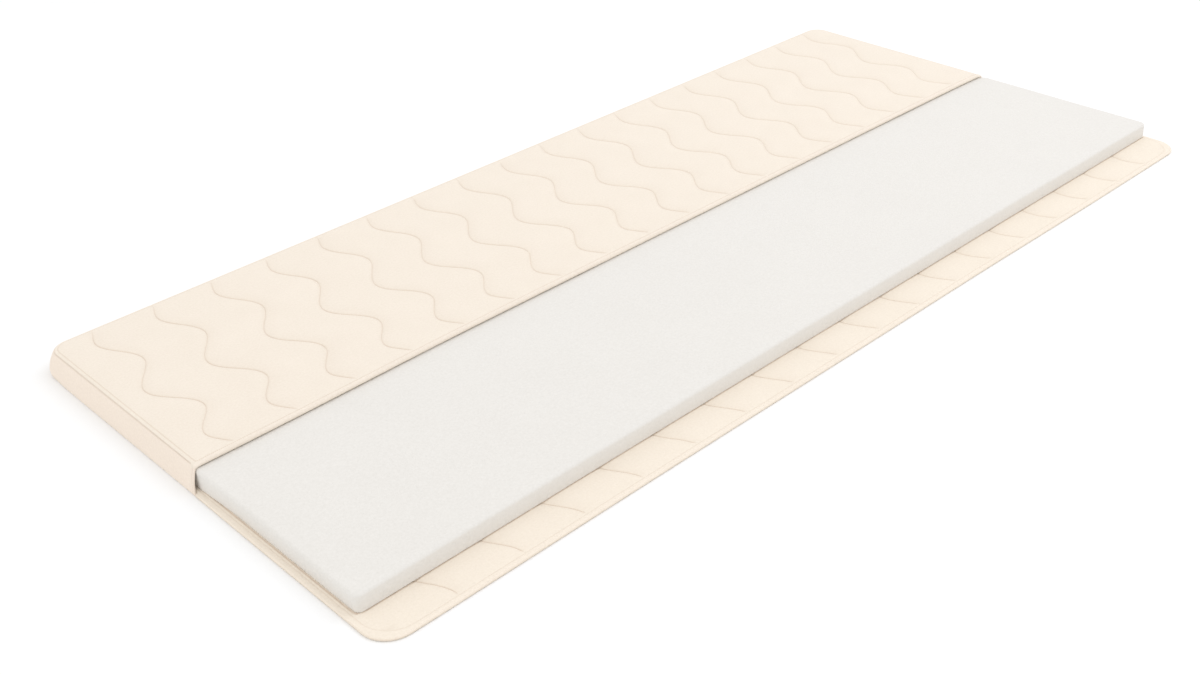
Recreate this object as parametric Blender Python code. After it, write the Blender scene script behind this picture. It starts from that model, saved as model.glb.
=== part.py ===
"""Single-bed mattress topper lying flat, with the front half of its cover laid open.

Four pieces, each its own closed solid:
  bottom_panel  quilted sheet under everything, its loose front half hemmed with round corners
  foam_core     soft foam slab with rounded edges
  top_panel     quilted sheet over the back half, with a turned hem along its front edge
  border_strip  side wall of the cover, round the left end, the back and the right end

Frame: metres, +X along the length (the near end is -X), -Y the open front, +Z up.
The origin is the centre of the bottom panel's footprint, on the surface it lies on.
"""

import math

import bmesh
import bpy

# Driving sizes, in metres
LENGTH = 2.000
WIDTH = 0.942
COVER_TOP = 0.0436
GAP = 0.0003
CUT_Y = -0.0090

# Plan radius of the cover's corners
CORNER = 0.045

# Bottom panel: cloth thickness, its hemmed edge as (distance out from the face, height), and
# the length over which its outline steps in under the side wall
SHEET_THICK = 0.0047
HEM_EDGE = ((0.0019, 0.0041), (0.0026, 0.0024), (0.0012, 0.0))
STEP_RUN = 0.0006

# Side wall: its outer face leans in towards the seam as a soft bulge
WALL_THICK = 0.0034
SEAM_INSET = 0.0145
SEAM_Z = 0.0403
WALL_END_LEAN = 0.0120
WALL_LEVELS = (0.0, 0.10, 0.28, 0.48, 0.66, 0.80, 0.91, 1.0)
FOOT_ROUND = 0.0010
WALL_STEP = 0.25

# Foam slab
FOAM_BOTTOM = SHEET_THICK + GAP
FOAM_TOP = 0.0345
FOAM_LEFT_GAP = 0.0155
FOAM_RIGHT_GAP = 0.0120
FOAM_BACK_GAP = 0.0155
FOAM_FRONT_Y = -0.3950
FOAM_TOP_ROUND = 0.0090
FOAM_FOOT_ROUND = 0.0018
FOAM_FRONT_CORNER = 0.012
FOAM_BACK_CORNER = 0.028

# Top panel
PANEL_UNDER = FOAM_TOP + GAP
PANEL_EDGE_Z = SEAM_Z + 0.0003
PANEL_EDGE_INSET = SEAM_INSET + 0.0004
PANEL_CROWN_RUN = 0.025
EDGE_FACE_RUN = 0.0028
EDGE_FACE_DROP = 0.0015
UNDER_FLAT_INSET = 0.0085
UNDER_CUT_SETBACK = (0.0008, 0.0030)
HEM_ROUND = 0.0040
HEM_SWELL = 0.0004
HEM_WIDTH = 0.0090
HEM_ROWS = (0.0, 0.0005, HEM_ROUND, 0.0080, HEM_WIDTH)

# Quilting: stitched lines run across the width, and their pitch eases in towards the far end
TOP_LINES = 18
TOP_FIRST_LINE = -0.9155
TOP_PITCH = 0.1130
TOP_PITCH_EASE = 0.0006
BOTTOM_LINES = 17
BOTTOM_FIRST_LINE = -0.8860
BOTTOM_PITCH = 0.1142
BOTTOM_PITCH_EASE = 0.0005
GROOVE_DEPTH = 0.0016
GROOVE_SHOULDER = 0.0090
SHOULDER_DROP = 0.0003
EDGE_COLUMNS = (0.0, 0.05, 0.16, 0.40, 0.70)
ROW_STEP = 0.0200
HIDDEN_ROW_STEP = 0.0420
ARC_STEPS = 6

# Turns of the top panel's waves: distance behind the cut edge and sideways offset, each for the
# first line and for the last one. The lines between them drift evenly from one to the other.
TOP_WAVE = (
    {"back": (0.000, 0.000), "side": (0.0030, -0.0275)},
    {"back": (0.057, 0.073), "side": (-0.0180, -0.0480)},
    {"back": (0.131, 0.148), "side": (0.0225, -0.0120)},
    {"back": (0.226, 0.234), "side": (-0.0235, -0.0435)},
    {"back": (0.320, 0.325), "side": (0.0230, 0.0050)},
    {"back": (0.411, 0.406), "side": (-0.0110, -0.0170)},
    {"back": (0.465, 0.465), "side": (0.0045, 0.0000)},
)

# The bottom panel's waves: even, with their sideways reach and the first turn's distance from
# the front edge, again for the first line and for the last one
BOTTOM_WAVE_HALF = 0.0880
BOTTOM_WAVE_SIDE = (0.0166, 0.0147)
BOTTOM_WAVE_TURN = (0.1043, 0.0538)

# Materials: linear base colours, roughness, and the angle from which an edge is shaded sharp
TOP_CLOTH = (0.90, 0.83, 0.73)
BOTTOM_CLOTH = (0.88, 0.80, 0.68)
BORDER_CLOTH = (0.86, 0.78, 0.68)
FOAM = (0.86, 0.84, 0.80)
CLOTH_ROUGHNESS = 0.92
FOAM_ROUGHNESS = 0.85
SHARP_DEG = 50.0

# Distances below this count as none
TINY = 1e-6


def clear_scene():
    """Remove every object that the new file starts with."""
    for old in list(bpy.data.objects):
        bpy.data.objects.remove(old, do_unlink=True)


def make_material(name, colour, roughness):
    """Return a plain Principled material; colour is linear red, green, blue."""
    mat = bpy.data.materials.new(name)
    mat.use_nodes = True
    shader = mat.node_tree.nodes["Principled BSDF"]
    shader.inputs["Base Color"].default_value = (*colour, 1.0)
    shader.inputs["Roughness"].default_value = roughness
    shader.inputs["Metallic"].default_value = 0.0
    mat.diffuse_color = (*colour, 1.0)
    return mat


def finish_object(name, bm, mat):
    """Turn a bmesh into a smooth-shaded object that carries one material."""
    bmesh.ops.recalc_face_normals(bm, faces=bm.faces[:])
    mesh = bpy.data.meshes.new(name)
    bm.to_mesh(mesh)
    bm.free()
    mesh.shade_smooth()
    mesh.set_sharp_from_angle(angle=math.radians(SHARP_DEG))
    mesh.materials.append(mat)
    obj = bpy.data.objects.new(name, mesh)
    bpy.context.scene.collection.objects.link(obj)
    return obj


def between(pair, share):
    """Value at a share of the way from the first of a pair to the second."""
    return pair[0] + (pair[1] - pair[0]) * share


def turn_wave(distance, turns, share):
    """Sideways offset at a distance, eased from each turn to the next, for a line at a share."""
    for near, far in zip(turns, turns[1:]):
        start, end = between(near["back"], share), between(far["back"], share)
        if distance <= end:
            run = max(0.0, (distance - start) / (end - start))
            sides = (between(near["side"], share), between(far["side"], share))
            return between(sides, 0.5 - 0.5 * math.cos(math.pi * run))
    return between(turns[-1]["side"], share)


def line_places(count, first, pitch, ease):
    """(share of the way from the first line to the last, mean x) of each stitched line."""
    return [
        (k / (count - 1), first + k * pitch - 0.5 * k * (k - 1) * ease) for k in range(count)
    ]


def top_stitches(y):
    """X of each stitched line of the top panel at y."""
    places = line_places(TOP_LINES, TOP_FIRST_LINE, TOP_PITCH, TOP_PITCH_EASE)
    return [place + turn_wave(y - CUT_Y, TOP_WAVE, share) for share, place in places]


def bottom_stitches(y):
    """X of each stitched line of the bottom panel at y."""
    stitches = []
    places = line_places(BOTTOM_LINES, BOTTOM_FIRST_LINE, BOTTOM_PITCH, BOTTOM_PITCH_EASE)
    for share, place in places:
        behind_turn = y + WIDTH / 2.0 - between(BOTTOM_WAVE_TURN, share)
        wave = math.cos(math.pi * behind_turn / BOTTOM_WAVE_HALF)
        stitches.append(place - between(BOTTOM_WAVE_SIDE, share) * wave)
    return stitches


class Outline:
    """A rectangle with round corners: its left and right edges at any y, and its inward normals."""

    def __init__(self, x_half, y_front, y_back, front_corner, back_corner):
        self.x_half = x_half
        self.y_front = y_front
        self.y_back = y_back
        self.front_corner = front_corner
        self.back_corner = back_corner

    def half_length(self, y):
        """Half the length along x at this y."""
        for corner, depth in ((self.front_corner, y - self.y_front), (self.back_corner, self.y_back - y)):
            if depth < corner:
                reach = math.sqrt(max(0.0, corner ** 2 - (corner - max(0.0, depth)) ** 2))
                return self.x_half - corner + reach
        return self.x_half

    def inward(self, x, y):
        """Unit vector that points into the outline from a point on it."""
        side = -1.0 if x > 0.0 else 1.0
        for corner, edge, way in (
            (self.front_corner, self.y_front, 1.0),
            (self.back_corner, self.y_back, -1.0),
        ):
            depth = (y - edge) * way
            over = corner - (self.x_half - abs(x))
            if corner > 0.0 and depth < corner and over > -TINY:
                length = math.hypot(over, corner - depth)
                return (side * over / length, way * (corner - depth) / length)
            if depth < TINY:
                return (0.0, way)
        return (side, 0.0)

    def depth_inside(self, x, y):
        """Distance inwards from the outline's ends and back, for a point inside it."""
        ends = self.x_half - abs(x)
        back = self.y_back - y
        if ends < self.back_corner and back < self.back_corner:
            return self.back_corner - math.hypot(self.back_corner - ends, self.back_corner - back)
        return min(ends, back)


def corner_rows(corner):
    """Depths of the rows that sample a round corner at even angles, from its tip inwards."""
    return [corner * (1.0 - math.cos(0.5 * math.pi * k / ARC_STEPS)) for k in range(ARC_STEPS + 1)]


def spread(start, end, step):
    """Values from start to end, both left out, about one step apart."""
    count = max(1, round((end - start) / step))
    return [start + (end - start) * k / count for k in range(1, count)]


def sheet_columns(half, stitches):
    """X of each column of a quilted sheet in one row, from the stitched lines' x in that row.

    Each stitched line has its groove, two shoulders and the crest after it. The stretch between
    an end and the nearest shoulder is shared out from the straight edge.
    """
    first = stitches[0] - GROOVE_SHOULDER
    last = stitches[-1] + GROOVE_SHOULDER
    columns = [-half + share * (first + half) for share in EDGE_COLUMNS]
    for index, stitch in enumerate(stitches):
        columns += [stitch - GROOVE_SHOULDER, stitch, stitch + GROOVE_SHOULDER]
        if index + 1 < len(stitches):
            columns.append(0.5 * (stitch + stitches[index + 1]))
    columns += [half - share * (half - last) for share in reversed(EDGE_COLUMNS)]
    return columns


def quilt_drop(x, stitches):
    """How far the quilted face lies below its crests at x."""
    away = min(abs(x - stitch) for stitch in stitches)
    if away >= GROOVE_SHOULDER:
        return SHOULDER_DROP * max(0.0, 1.0 - (away - GROOVE_SHOULDER) / (2.0 * GROOVE_SHOULDER))
    share = away / GROOVE_SHOULDER
    return SHOULDER_DROP + (GROOVE_DEPTH - SHOULDER_DROP) * (1.0 - share) ** 2


def add_grid(bm, rows):
    """Add a grid of faces from rows of points, and return its border as one loop."""
    verts = [[bm.verts.new(point) for point in row] for row in rows]
    for near, far in zip(verts, verts[1:]):
        for k in range(len(near) - 1):
            bm.faces.new((near[k], near[k + 1], far[k + 1], far[k]))
    right = [row[-1] for row in verts[1:-1]]
    left = [row[0] for row in verts[-2:0:-1]]
    return verts[0] + right + verts[-1][::-1] + left


def add_ring(bm, loop, points):
    """Join a closed loop of vertices to a new loop at the given points."""
    ring = [bm.verts.new(point) for point in points]
    for k in range(len(loop)):
        nxt = (k + 1) % len(loop)
        bm.faces.new((loop[nxt], loop[k], ring[k], ring[nxt]))
    return ring


def wall_outer(z):
    """Distance inwards from the footprint to the wall's outer face at height z."""
    return SEAM_INSET * (z / SEAM_Z) ** 2


def wall_section():
    """Closed section of the side wall as (inset, z): outer face upwards, then inner face down."""
    outer = [(FOOT_ROUND, 0.0)]
    inner = []
    for share in WALL_LEVELS:
        z = share * SEAM_Z
        slope = 2.0 * SEAM_INSET * z / SEAM_Z ** 2
        length = math.hypot(1.0, slope)
        outer.append((wall_outer(z), max(z, FOOT_ROUND)))
        inner.append((wall_outer(z) + WALL_THICK / length, z - WALL_THICK * slope / length))
    return outer + inner[::-1]


def wall_stations():
    """Places round the footprint from the left cut end to the right one.

    Each is (centre, outward direction), where the centre lies one corner radius inside the
    footprint, so that a point at any inset lies at centre + direction * (CORNER - inset).
    """
    x_mid = LENGTH / 2.0 - CORNER
    y_mid = WIDTH / 2.0 - CORNER
    left = [((-x_mid, y), (-1.0, 0.0)) for y in (CUT_Y, *spread(CUT_Y, y_mid, WALL_STEP))]
    for k in range(ARC_STEPS + 1):
        angle = 0.5 * math.pi * k / ARC_STEPS
        left.append(((-x_mid, y_mid), (-math.cos(angle), math.sin(angle))))
    back = [((x, y_mid), (0.0, 1.0)) for x in spread(-x_mid, x_mid, WALL_STEP)]
    right = [((-centre[0], centre[1]), (-way[0], way[1])) for centre, way in reversed(left)]
    return left + back + right


def build_border_strip():
    """Side wall: one strip of cloth stood on edge round both ends and the back."""
    section = wall_section()
    stations = wall_stations()
    bm = bmesh.new()
    rings = []
    for index, (centre, way) in enumerate(stations):
        ring = []
        for inset, z in section:
            reach = CORNER - inset
            x = centre[0] + way[0] * reach
            y = centre[1] + way[1] * reach
            if index in (0, len(stations) - 1):
                y -= WALL_END_LEAN * max(0.0, 1.0 - z / SEAM_Z)
            ring.append(bm.verts.new((x, y, z)))
        rings.append(ring)
    for near, far in zip(rings, rings[1:]):
        for k in range(len(section)):
            nxt = (k + 1) % len(section)
            bm.faces.new((near[k], near[nxt], far[nxt], far[k]))
    bm.faces.new(rings[0])
    bm.faces.new(rings[-1][::-1])
    cloth = make_material("border_cloth", BORDER_CLOTH, CLOTH_ROUGHNESS)
    return finish_object("border_strip", bm, cloth)


def build_foam_core():
    """Foam slab: round plan corners, a wide soft edge above and a small one below."""
    left = FOAM_LEFT_GAP - LENGTH / 2.0
    right = LENGTH / 2.0 - FOAM_RIGHT_GAP
    back = WIDTH / 2.0 - FOAM_BACK_GAP
    front_r, back_r = FOAM_FRONT_CORNER, FOAM_BACK_CORNER
    corners = (
        {"x": left + front_r, "y": FOAM_FRONT_Y + front_r, "r": front_r, "from": 180.0},
        {"x": right - front_r, "y": FOAM_FRONT_Y + front_r, "r": front_r, "from": 270.0},
        {"x": right - back_r, "y": back - back_r, "r": back_r, "from": 0.0},
        {"x": left + back_r, "y": back - back_r, "r": back_r, "from": 90.0},
    )
    plan = []
    for corner in corners:
        radius = corner["r"]
        for k in range(ARC_STEPS + 1):
            angle = math.radians(corner["from"] + 90.0 * k / ARC_STEPS)
            plan.append((corner["x"], corner["y"], math.cos(angle), math.sin(angle), radius))
    foot = []
    crown = []
    for k in range(ARC_STEPS + 1):
        angle = 0.5 * math.pi * k / ARC_STEPS
        near, far = 1.0 - math.sin(angle), 1.0 - math.cos(angle)
        foot.append((FOAM_FOOT_ROUND * near, FOAM_BOTTOM + FOAM_FOOT_ROUND * far))
        crown.append((FOAM_TOP_ROUND * far, FOAM_TOP - FOAM_TOP_ROUND * near))
    bm = bmesh.new()
    rings = []
    for inset, z in foot + crown:
        ring = []
        for centre_x, centre_y, dx, dy, radius in plan:
            reach = radius - inset
            ring.append(bm.verts.new((centre_x + dx * reach, centre_y + dy * reach, z)))
        rings.append(ring)
    for low, high in zip(rings, rings[1:]):
        for k in range(len(plan)):
            nxt = (k + 1) % len(plan)
            bm.faces.new((low[k], low[nxt], high[nxt], high[k]))
    bm.faces.new(rings[0][::-1])
    bm.faces.new(rings[-1])
    foam = make_material("foam", FOAM, FOAM_ROUGHNESS)
    return finish_object("foam_core", bm, foam)


def build_bottom_panel():
    """Quilted sheet under everything; behind the cut its edge lies inside the side wall."""
    rim = max(out for out, _ in HEM_EDGE)
    tuck = WALL_THICK + GAP
    step_y = CUT_Y - WALL_END_LEAN - GAP
    front = Outline(LENGTH / 2.0 - rim, rim - WIDTH / 2.0, WIDTH, CORNER - rim, 0.0)
    back = Outline(
        LENGTH / 2.0 - tuck - rim, -WIDTH, WIDTH / 2.0 - tuck - rim, 0.0, CORNER - tuck - rim
    )
    ys = [front.y_front + depth for depth in corner_rows(front.front_corner)]
    ys.append(0.5 * (ys[-1] + FOAM_FRONT_Y))
    ys += spread(ys[-1], step_y, HIDDEN_ROW_STEP) + [step_y - STEP_RUN, step_y]
    back_rows = [back.y_back - depth for depth in reversed(corner_rows(back.back_corner))]
    ys += spread(step_y, back_rows[0], HIDDEN_ROW_STEP) + back_rows
    rows = []
    for y in ys:
        stitches = bottom_stitches(y)
        outline = front if y < step_y else back
        columns = sheet_columns(outline.half_length(y), stitches)
        rows.append([(x, y, SHEET_THICK - quilt_drop(x, stitches)) for x in columns])
    bm = bmesh.new()
    loop = add_grid(bm, rows)
    places = [tuple(vert.co) for vert in loop]
    for out, z in HEM_EDGE:
        points = []
        for x, y, _ in places:
            outline = front if y < step_y - 0.5 * STEP_RUN else back
            nx, ny = outline.inward(x, y)
            points.append((x - nx * out, y - ny * out, z))
        loop = add_ring(bm, loop, points)
    bm.faces.new(loop)
    cloth = make_material("quilted_cloth_bottom", BOTTOM_CLOTH, CLOTH_ROUGHNESS)
    return finish_object("bottom_panel", bm, cloth)


def seam_drop(depth, drop, run):
    """How far a face curves down at a depth in from the seam."""
    if depth >= run:
        return 0.0
    return drop * (1.0 - max(0.0, depth) / run) ** 2


def under_height(depth):
    """Height of the top panel's underside: over the wall at its edge, then down to the foam."""
    run = min(1.0, max(0.0, depth - EDGE_FACE_RUN) / (UNDER_FLAT_INSET - EDGE_FACE_RUN))
    return between((PANEL_EDGE_Z - EDGE_FACE_DROP, PANEL_UNDER), run)


def top_face_height(x, y, outline, stitches):
    """Height of the top panel's quilted face."""
    depth = outline.depth_inside(x, y)
    behind_cut = y - CUT_Y
    z = COVER_TOP - seam_drop(depth, COVER_TOP - PANEL_EDGE_Z, PANEL_CROWN_RUN)
    if behind_cut < HEM_WIDTH:
        z += HEM_SWELL
    else:
        z -= quilt_drop(x, stitches) * min(1.0, depth / PANEL_CROWN_RUN)
    if behind_cut < HEM_ROUND:
        middle = 0.5 * (under_height(depth) + z)
        arc = math.sqrt(max(0.0, 1.0 - (1.0 - behind_cut / HEM_ROUND) ** 2))
        z = middle + (z - middle) * arc
    return z


def step_in(x, y, outline, inset, cut_inset):
    """Move a point of the top panel's outline inwards, by cut_inset where it is at the cut."""
    if y > CUT_Y:
        nx, ny = outline.inward(x, y)
        return (x + nx * inset, max(y + ny * inset, CUT_Y + cut_inset))
    at_end = outline.x_half - abs(x) < GAP
    return (math.copysign(abs(x) - inset, x) if at_end else x, CUT_Y + cut_inset)


def build_top_panel():
    """Quilted sheet over the back half, curved down to the seam and folded under at the cut."""
    outline = Outline(
        LENGTH / 2.0 - PANEL_EDGE_INSET,
        CUT_Y,
        WIDTH / 2.0 - PANEL_EDGE_INSET,
        0.0,
        CORNER - PANEL_EDGE_INSET,
    )
    ys = [CUT_Y + depth for depth in HEM_ROWS]
    back_rows = [outline.y_back - depth for depth in reversed(corner_rows(outline.back_corner))]
    ys += spread(ys[-1], back_rows[0], ROW_STEP) + back_rows
    rows = []
    for y in ys:
        stitches = top_stitches(y)
        columns = sheet_columns(outline.half_length(y), stitches)
        rows.append([(x, y, top_face_height(x, y, outline, stitches)) for x in columns])
    bm = bmesh.new()
    loop = add_grid(bm, rows)
    places = [tuple(vert.co) for vert in loop]
    for inset, cut_inset in zip((EDGE_FACE_RUN, UNDER_FLAT_INSET), UNDER_CUT_SETBACK):
        points = []
        for x, y, _ in places:
            px, py = step_in(x, y, outline, inset, cut_inset)
            points.append((px, py, under_height(outline.depth_inside(px, py))))
        loop = add_ring(bm, loop, points)
    bm.faces.new(loop)
    cloth = make_material("quilted_cloth_top", TOP_CLOTH, CLOTH_ROUGHNESS)
    return finish_object("top_panel", bm, cloth)


def main():
    """Build the four pieces."""
    clear_scene()
    build_bottom_panel()
    build_foam_core()
    build_border_strip()
    build_top_panel()


main()
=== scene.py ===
"""Looks of a single-bed mattress topper lying flat, with the front half of its cover laid open.

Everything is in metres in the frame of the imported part: +X along the length, -Y the open front
and +Z up. Four pieces of soft goods stand for the part's four solids:
  top_cover     quilted sheet over the back half, hemmed along its cut front
  bottom_cover  quilted sheet under everything, hemmed round its loose front half
  side_wall     plain strip of the same cloth, stood on edge round the ends and the back
  foam_slab     the soft foam
The pieces named thread_* are the sewn threads of the quilting, the hems and the seams.
"""

import logging
import math
from dataclasses import dataclass, field
from enum import Enum
from functools import reduce
from typing import NamedTuple

import bmesh
import bpy
import numpy as np
from mathutils import Matrix, Vector


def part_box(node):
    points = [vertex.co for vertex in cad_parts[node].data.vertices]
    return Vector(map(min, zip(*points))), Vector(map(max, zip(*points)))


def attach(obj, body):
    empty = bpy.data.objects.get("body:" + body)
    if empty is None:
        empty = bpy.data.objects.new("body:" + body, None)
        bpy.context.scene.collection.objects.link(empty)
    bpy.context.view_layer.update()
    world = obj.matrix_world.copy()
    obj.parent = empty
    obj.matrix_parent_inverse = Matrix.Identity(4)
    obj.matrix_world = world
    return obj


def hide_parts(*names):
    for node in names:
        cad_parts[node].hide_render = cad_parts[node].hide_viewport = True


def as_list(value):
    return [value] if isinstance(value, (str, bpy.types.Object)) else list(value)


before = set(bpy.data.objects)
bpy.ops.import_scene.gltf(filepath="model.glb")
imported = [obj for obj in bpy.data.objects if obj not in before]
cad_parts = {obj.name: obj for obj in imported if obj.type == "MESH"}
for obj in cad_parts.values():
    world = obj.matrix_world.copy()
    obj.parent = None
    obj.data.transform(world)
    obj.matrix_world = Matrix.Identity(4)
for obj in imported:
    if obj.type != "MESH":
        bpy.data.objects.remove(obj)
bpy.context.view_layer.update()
LOG = logging.getLogger("topper")

# Cloth coordinates, and the strength of the painted shade in stitched grooves, along seams, under rims and
# at the foam's foot, as the cloth's materials read them
CLOTH_MAP = "cloth"
PAINTED_SHADE_ATTRIBUTE = "painted_shade"

MM = 0.001
TINY = 1e-7
NEAR = 0.1 * MM
# How far past a sheet an outline runs where the sheet has no such edge
BEYOND = 1.0

Array = np.ndarray
Piece = bpy.types.Object
Socket = bpy.types.NodeSocket
Colour = tuple[float, float, float, float]


class Node(Enum):
    """The part's solids."""

    TOP = "top_panel"
    BOTTOM = "bottom_panel"
    WALL = "border_strip"
    FOAM = "foam_core"


class Slot(Enum):
    """The record's material slots."""

    TOP = "quilted_cloth_top"
    BOTTOM = "quilted_cloth_bottom"
    WALL = "border_cloth"
    FOAM = "foam"


class Hold(Enum):
    """How a sheet of cloth is held."""

    LAID = "laid"
    STRETCHED = "stretched"


# ---------------------------------------------------------------------------------------------
# Soft shapes


def ease(value: Array | float, width: float) -> Array:
    """Rise smoothly from 0 at zero to 1 at a width."""
    share = np.clip(np.asarray(value, float) / width, 0.0, 1.0)
    return share * share * (3.0 - 2.0 * share)


class Wave(NamedTuple):
    """A slow wave of soft goods: turns for each metre both ways, start, and share of the height."""

    along: float
    across: float
    start: float
    share: float


SLOW_WAVES = (Wave(4.1, 9.0, 0.7, 0.5), Wave(11.3, -17.0, 2.1, 0.3), Wave(27.0, 31.0, 4.4, 0.2))


def unevenness(along: Array, across: Array, height: float) -> Array:
    """Return the slow rise and fall of what lies freely, nowhere more than a height."""
    waves = (w.share * np.sin(w.along * along + w.across * across + w.start) for w in SLOW_WAVES)
    return height * sum(waves)


@dataclass(frozen=True)
class Trough:
    """A soft trough beside a line, or the painted shade along one: its depth or strength there, and where
    it ends.
    """

    depth: float
    run: float

    def at(self, distance: Array | float) -> Array:
        """Return the depth, or the shade's strength, at distances from the line."""
        return self.depth * np.clip(1.0 - np.abs(distance) / self.run, 0.0, 1.0) ** 2


def resampled(line: Array, step: float) -> Array:
    """Return a line's points at even distances.

    Args:
        line: Points of the line, one in each row.
        step: Wanted distance between points.

    Returns:
        Points from the line's first to its last.
    """
    runs = np.concatenate([[0.0], np.cumsum(np.linalg.norm(np.diff(line, axis=0), axis=1))])
    places = np.linspace(0.0, runs[-1], max(2, round(runs[-1] / step) + 1))
    return np.stack([np.interp(places, runs, line[:, axis]) for axis in range(line.shape[1])], 1)


def spread(start: float, end: float, step: float) -> Array:
    """Return values from after the start up to the end, about one step apart."""
    return np.linspace(start, end, max(1, round((end - start) / step)) + 1)[1:]


def corner_depths(radius: float, steps: int) -> Array:
    """Return the depths of rows that cut a round corner at even angles, from its tip inwards."""
    return radius * (1.0 - np.cos(np.linspace(0.0, 0.5 * math.pi, steps + 1)))


@dataclass(frozen=True)
class RoundedPlan:
    """A rectangle in plan, centred on x = 0, with its own radius for front and back corners."""

    half: float
    front: float
    back: float
    front_radius: float
    back_radius: float

    def shrunk(self, inset: float) -> "RoundedPlan":
        """Return the same plan moved inwards all round, with corners about the same centres."""
        radii = [max(0.0, radius - inset) for radius in (self.front_radius, self.back_radius)]
        return RoundedPlan(self.half - inset, self.front + inset, self.back - inset, *radii)

    def half_length(self, y: Array) -> Array:
        """Return half the length at places across the width.

        Args:
            y: Places across the width.

        Returns:
            Half the length along x at each.
        """
        result = np.full(y.shape, self.half)
        for radius, depth in ((self.front_radius, y - self.front), (self.back_radius, self.back - y)):
            if radius > 0.0:
                short = np.clip(radius - depth, 0.0, radius)
                result -= radius - np.sqrt(radius**2 - short**2)
        return result

    def depth(self, x: Array, y: Array) -> Array:
        """Return the distance inwards from the outline, negative outside it.

        Args:
            x: Places along the length.
            y: Places across the width.

        Returns:
            Distances.
        """
        ends = self.half - np.abs(x)
        nearer_front = y < 0.5 * (self.front + self.back)
        radius = np.where(nearer_front, self.front_radius, self.back_radius)
        edge = np.where(nearer_front, y - self.front, self.back - y)
        round_part = radius - np.hypot(radius - ends, radius - edge)
        return np.where((ends < radius) & (edge < radius), round_part, np.minimum(ends, edge))

    def outward(self, x: Array, y: Array) -> Array:
        """Return the outward unit vectors at points on the outline.

        Args:
            x: Places along the length.
            y: Places across the width.

        Returns:
            One vector for each point, as an array of pairs.
        """
        way = np.zeros((len(x), 2))
        for radius, edge, sign in (
            (self.front_radius, y - self.front, -1.0),
            (self.back_radius, self.back - y, 1.0),
        ):
            over = np.maximum(0.0, np.abs(x) - (self.half - radius))
            under = np.maximum(0.0, radius - edge)
            at_corner = (edge < radius + TINY) & (over > TINY)
            length = np.maximum(np.hypot(over, under), TINY)
            way[at_corner, 0] = (np.sign(x) * over / length)[at_corner]
            way[at_corner, 1] = (sign * under / length)[at_corner]
            way[(edge < TINY) & ~at_corner] = (0.0, sign)
        straight = ~way.any(axis=1)
        way[straight, 0] = np.sign(x[straight])
        return way

    def path(self, step: float) -> Array:
        """Return points round the outline, from the front's middle through the left end.

        Args:
            step: Rough distance between points.

        Returns:
            A closed line as an array of pairs, its last point equal to its first.
        """
        front, back = self.front + self.front_radius, self.back - self.back_radius
        points = [(0.0, self.front)]
        for side, middle_y, radius, start in (
            (-1.0, front, self.front_radius, 270.0),
            (-1.0, back, self.back_radius, 180.0),
            (1.0, back, self.back_radius, 90.0),
            (1.0, front, self.front_radius, 0.0),
        ):
            middle_x = side * (self.half - radius)
            count = max(2, round(0.5 * math.pi * radius / step) + 1)
            for angle in np.radians(np.linspace(start, start - 90.0, count)):
                points.append((middle_x + radius * math.cos(angle), middle_y + radius * math.sin(angle)))
        points.append((0.0, self.front))
        return resampled(np.array(points), step)


# ---------------------------------------------------------------------------------------------
# Quilting


@dataclass(frozen=True, kw_only=True)
class QuiltLines:
    """Stitched lines across the width, whose pitch eases in towards the far end.

    Painted shade lies along each line: dark and narrow at the line, weaker where the line runs to the
    right, and broad and faint on both sides, wider on the right, where the cloth turns from the key lamp.
    """

    count: int
    first: float
    pitch: float
    ease_in: float
    # Painted shade at the line and beside it, the broad part wider on its right
    line_painted_shade: Trough = Trough(0.88, 1.6 * MM)
    left_painted_shade: Trough = Trough(0.12, 9.0 * MM)
    right_painted_shade: Trough = Trough(0.085, 30.0 * MM)
    # How much weaker the painted shade is at lines that run to the right, and at what slope fully
    rightward_loss: float = 0.48
    full_slope: float = 0.50
    slope_step: float = 0.5 * MM

    def places(self) -> Array:
        """Return the mean x of each line."""
        k = np.arange(self.count)
        return self.first + k * self.pitch - 0.5 * k * (k - 1) * self.ease_in

    def drift(self, near: float, far: float) -> Array:
        """Return a value for each line, which changes evenly from the first line to the last."""
        share = np.arange(self.count) / (self.count - 1)
        return near + (far - near) * share

    def lines(self, y: Array) -> Array:
        """Return x of every line at each y, in a row for each y and a column for each line."""
        raise NotImplementedError

    def slopes(self, y: Array) -> Array:
        """Return how far each line runs to the right for each metre back, as lines() does."""
        step = self.slope_step
        return (self.lines(y + step) - self.lines(y - step)) / (2.0 * step)

    def stretch(self, y: Array) -> Array:
        """Return the length of each line for each metre across, as lines() does."""
        return np.hypot(1.0, self.slopes(y))

    def beside(self, x: Array, y: Array) -> tuple[Array, Array]:
        """Find each point's place beside the nearest line.

        Args:
            x: Places along the length.
            y: Places across the width.

        Returns:
            Distances from the line, negative to its left, and the line's slopes.
        """
        slopes = self.slopes(y)
        gaps = (x[:, None] - self.lines(y)) / np.hypot(1.0, slopes)
        nearest = (np.arange(len(x)), np.argmin(np.abs(gaps), axis=1))
        return gaps[nearest], slopes[nearest]

    def painted_shades(self, beside: Array, slopes: Array) -> Array:
        """Return the strength of the painted shade along the lines.

        Args:
            beside: Distances from the nearest line, negative to its left.
            slopes: The line's slopes there.

        Returns:
            Shares from 0 to 1.
        """
        # Broad painted shade beside the line, wider on its right
        broad = np.where(beside > 0.0, self.right_painted_shade.at(beside), self.left_painted_shade.at(beside))
        loss = self.rightward_loss * ease(slopes, self.full_slope)
        return np.maximum(self.line_painted_shade.at(beside) * (1.0 - loss), broad)


class Turn(NamedTuple):
    """A turn of a wave: its distance behind the cut and its sideways offset, near and far."""

    back_near: float
    back_far: float
    side_near: float
    side_far: float


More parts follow.
